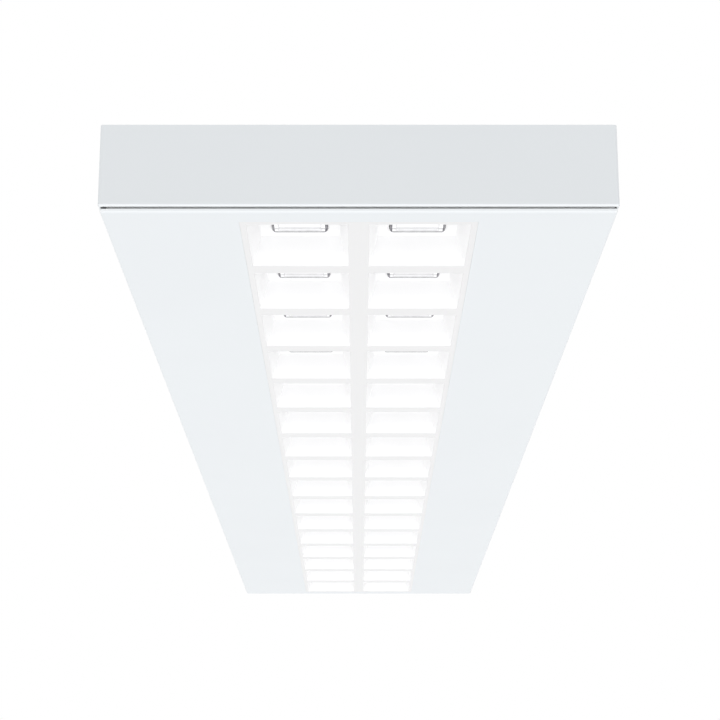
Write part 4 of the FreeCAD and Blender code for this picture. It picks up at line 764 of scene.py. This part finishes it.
def add_tab(shape):
    """The flat tab between ring and barrel."""
    length = RING_OUTER - RING_BORE + CRIMP_LENGTH / 2
    middle_x = EARTH_X - RING_BORE - length / 2 - (RING_OUTER - RING_BORE) / 4
    scale = Matrix.Diagonal((length, 2 * LEAD_RADIUS, RING_HIGH - RING_LOW, 1.0))
    middle = Matrix.Translation((middle_x, EARTH_Y, RING_MIDDLE))
    bmesh.ops.create_cube(shape, size=1.0, matrix=middle @ scale)


def make_ring_terminal(name, material):
    """A flat ring round the earth stud, a tab and a crimped barrel round the lead's end."""
    shape = bmesh.new()
    add_ring(shape)
    add_barrel(shape)
    add_tab(shape)
    bmesh.ops.recalc_face_normals(shape, faces=shape.faces)
    mesh = bpy.data.meshes.new(name)
    shape.to_mesh(mesh)
    shape.free()
    return shown_piece(name, mesh, material)


def seen_directly(tree):
    """One for what the camera sees, mirrored or through a clear piece too, and zero for light."""
    path = node(tree, "ShaderNodeLightPath").outputs
    return largest(tree, path["Is Camera Ray"], path["Is Glossy Ray"], path["Is Transmission Ray"])


def make_world():
    """White for what the camera sees or mirrors, and the soft tent for the light on the part."""
    world = bpy.data.worlds.new("studio")
    bpy.context.scene.world = world
    world.use_nodes = True
    tree = world.node_tree
    direction = node(tree, "ShaderNodeTexCoord").outputs["Generated"]
    facing = node(tree, "ShaderNodeVectorMath", {0: direction, 1: TENT_DIRECTION}, operation="DOT_PRODUCT")
    front = span(tree, facing.outputs["Value"], 0.0, 1.0, 0.0, TENT_FRONT)
    rear = span(tree, facing.outputs["Value"], -1.0, 0.0, TENT_REAR, 0.0)
    tent = math_node(tree, "ADD", math_node(tree, "ADD", front, rear), TENT_LEVEL)
    shown = math_node(tree, "MULTIPLY", math_node(tree, "SUBTRACT", 1.0, tent), seen_directly(tree))
    background = tree.nodes["Background"]
    background.inputs["Color"].default_value = WHITE
    feed(tree, background, "Strength", math_node(tree, "ADD", tent, shown))


def floor_material(name):
    """A pale matt floor that takes shadow, nearly white to the camera and fading to white."""
    material, tree, shader = principled(name, roughness=0.9)
    where = place(tree)
    grain = noise(tree, where, scale=3.0)
    feed(tree, shader, "Base Color", varied(tree, grain, (FLOOR_ALBEDO,) * 3, 0.01))
    distance = node(tree, "ShaderNodeVectorMath", {0: where}, operation="LENGTH").outputs["Value"]
    whiteness = span(tree, distance, FLOOR_FADE_START, FLOOR_FADE_END, FLOOR_WHITE_SHARE, 1.0)
    share = math_node(tree, "MULTIPLY", seen_directly(tree), whiteness)
    white = node(tree, "ShaderNodeEmission", {"Color": WHITE, "Strength": 1.0})
    mixed = node(tree, "ShaderNodeMixShader", {
        0: share, 1: shader.outputs["BSDF"], 2: white.outputs["Emission"]})
    feed(tree, tree.nodes["Material Output"], "Surface", mixed.outputs["Shader"])
    return material


def make_floor():
    """A plain floor far below the part, which throws no light back on it."""
    half = FLOOR_SIZE / 2
    mesh = bpy.data.meshes.new("floor")
    corners = [(-half, -half, FLOOR_LEVEL), (half, -half, FLOOR_LEVEL),
               (half, half, FLOOR_LEVEL), (-half, half, FLOOR_LEVEL)]
    mesh.from_pydata(corners, [], [(0, 1, 2, 3)])
    floor = shown_piece("floor", mesh, floor_material("floor"))
    floor.visible_diffuse = False
    floor.visible_shadow = False


def make_camera():
    """The photograph's viewpoint: below one end, looking along the luminaire."""
    data = bpy.data.cameras.new("camera")
    data.sensor_width = SENSOR_WIDTH
    data.lens = FOCAL_PIXELS / IMAGE_SIZE * SENSOR_WIDTH
    data.shift_x = CAMERA_SHIFT_X
    data.shift_y = CAMERA_SHIFT_Y
    data.clip_start = CLIP_START
    data.clip_end = CLIP_END
    camera = bpy.data.objects.new("camera", data)
    camera.location = CAMERA_PLACE
    camera.rotation_euler = (math.radians(90 + CAMERA_PITCH), 0.0, 0.0)
    bpy.context.scene.collection.objects.link(camera)
    bpy.context.scene.camera = camera


bpy.context.scene.view_settings.view_transform = "Standard"
make_camera()
all_materials = make_materials()
dress_nodes(all_materials)
make_led_lead(all_materials)
make_driver_leads(all_materials)
make_earth_lead(all_materials)
make_world()
make_floor()
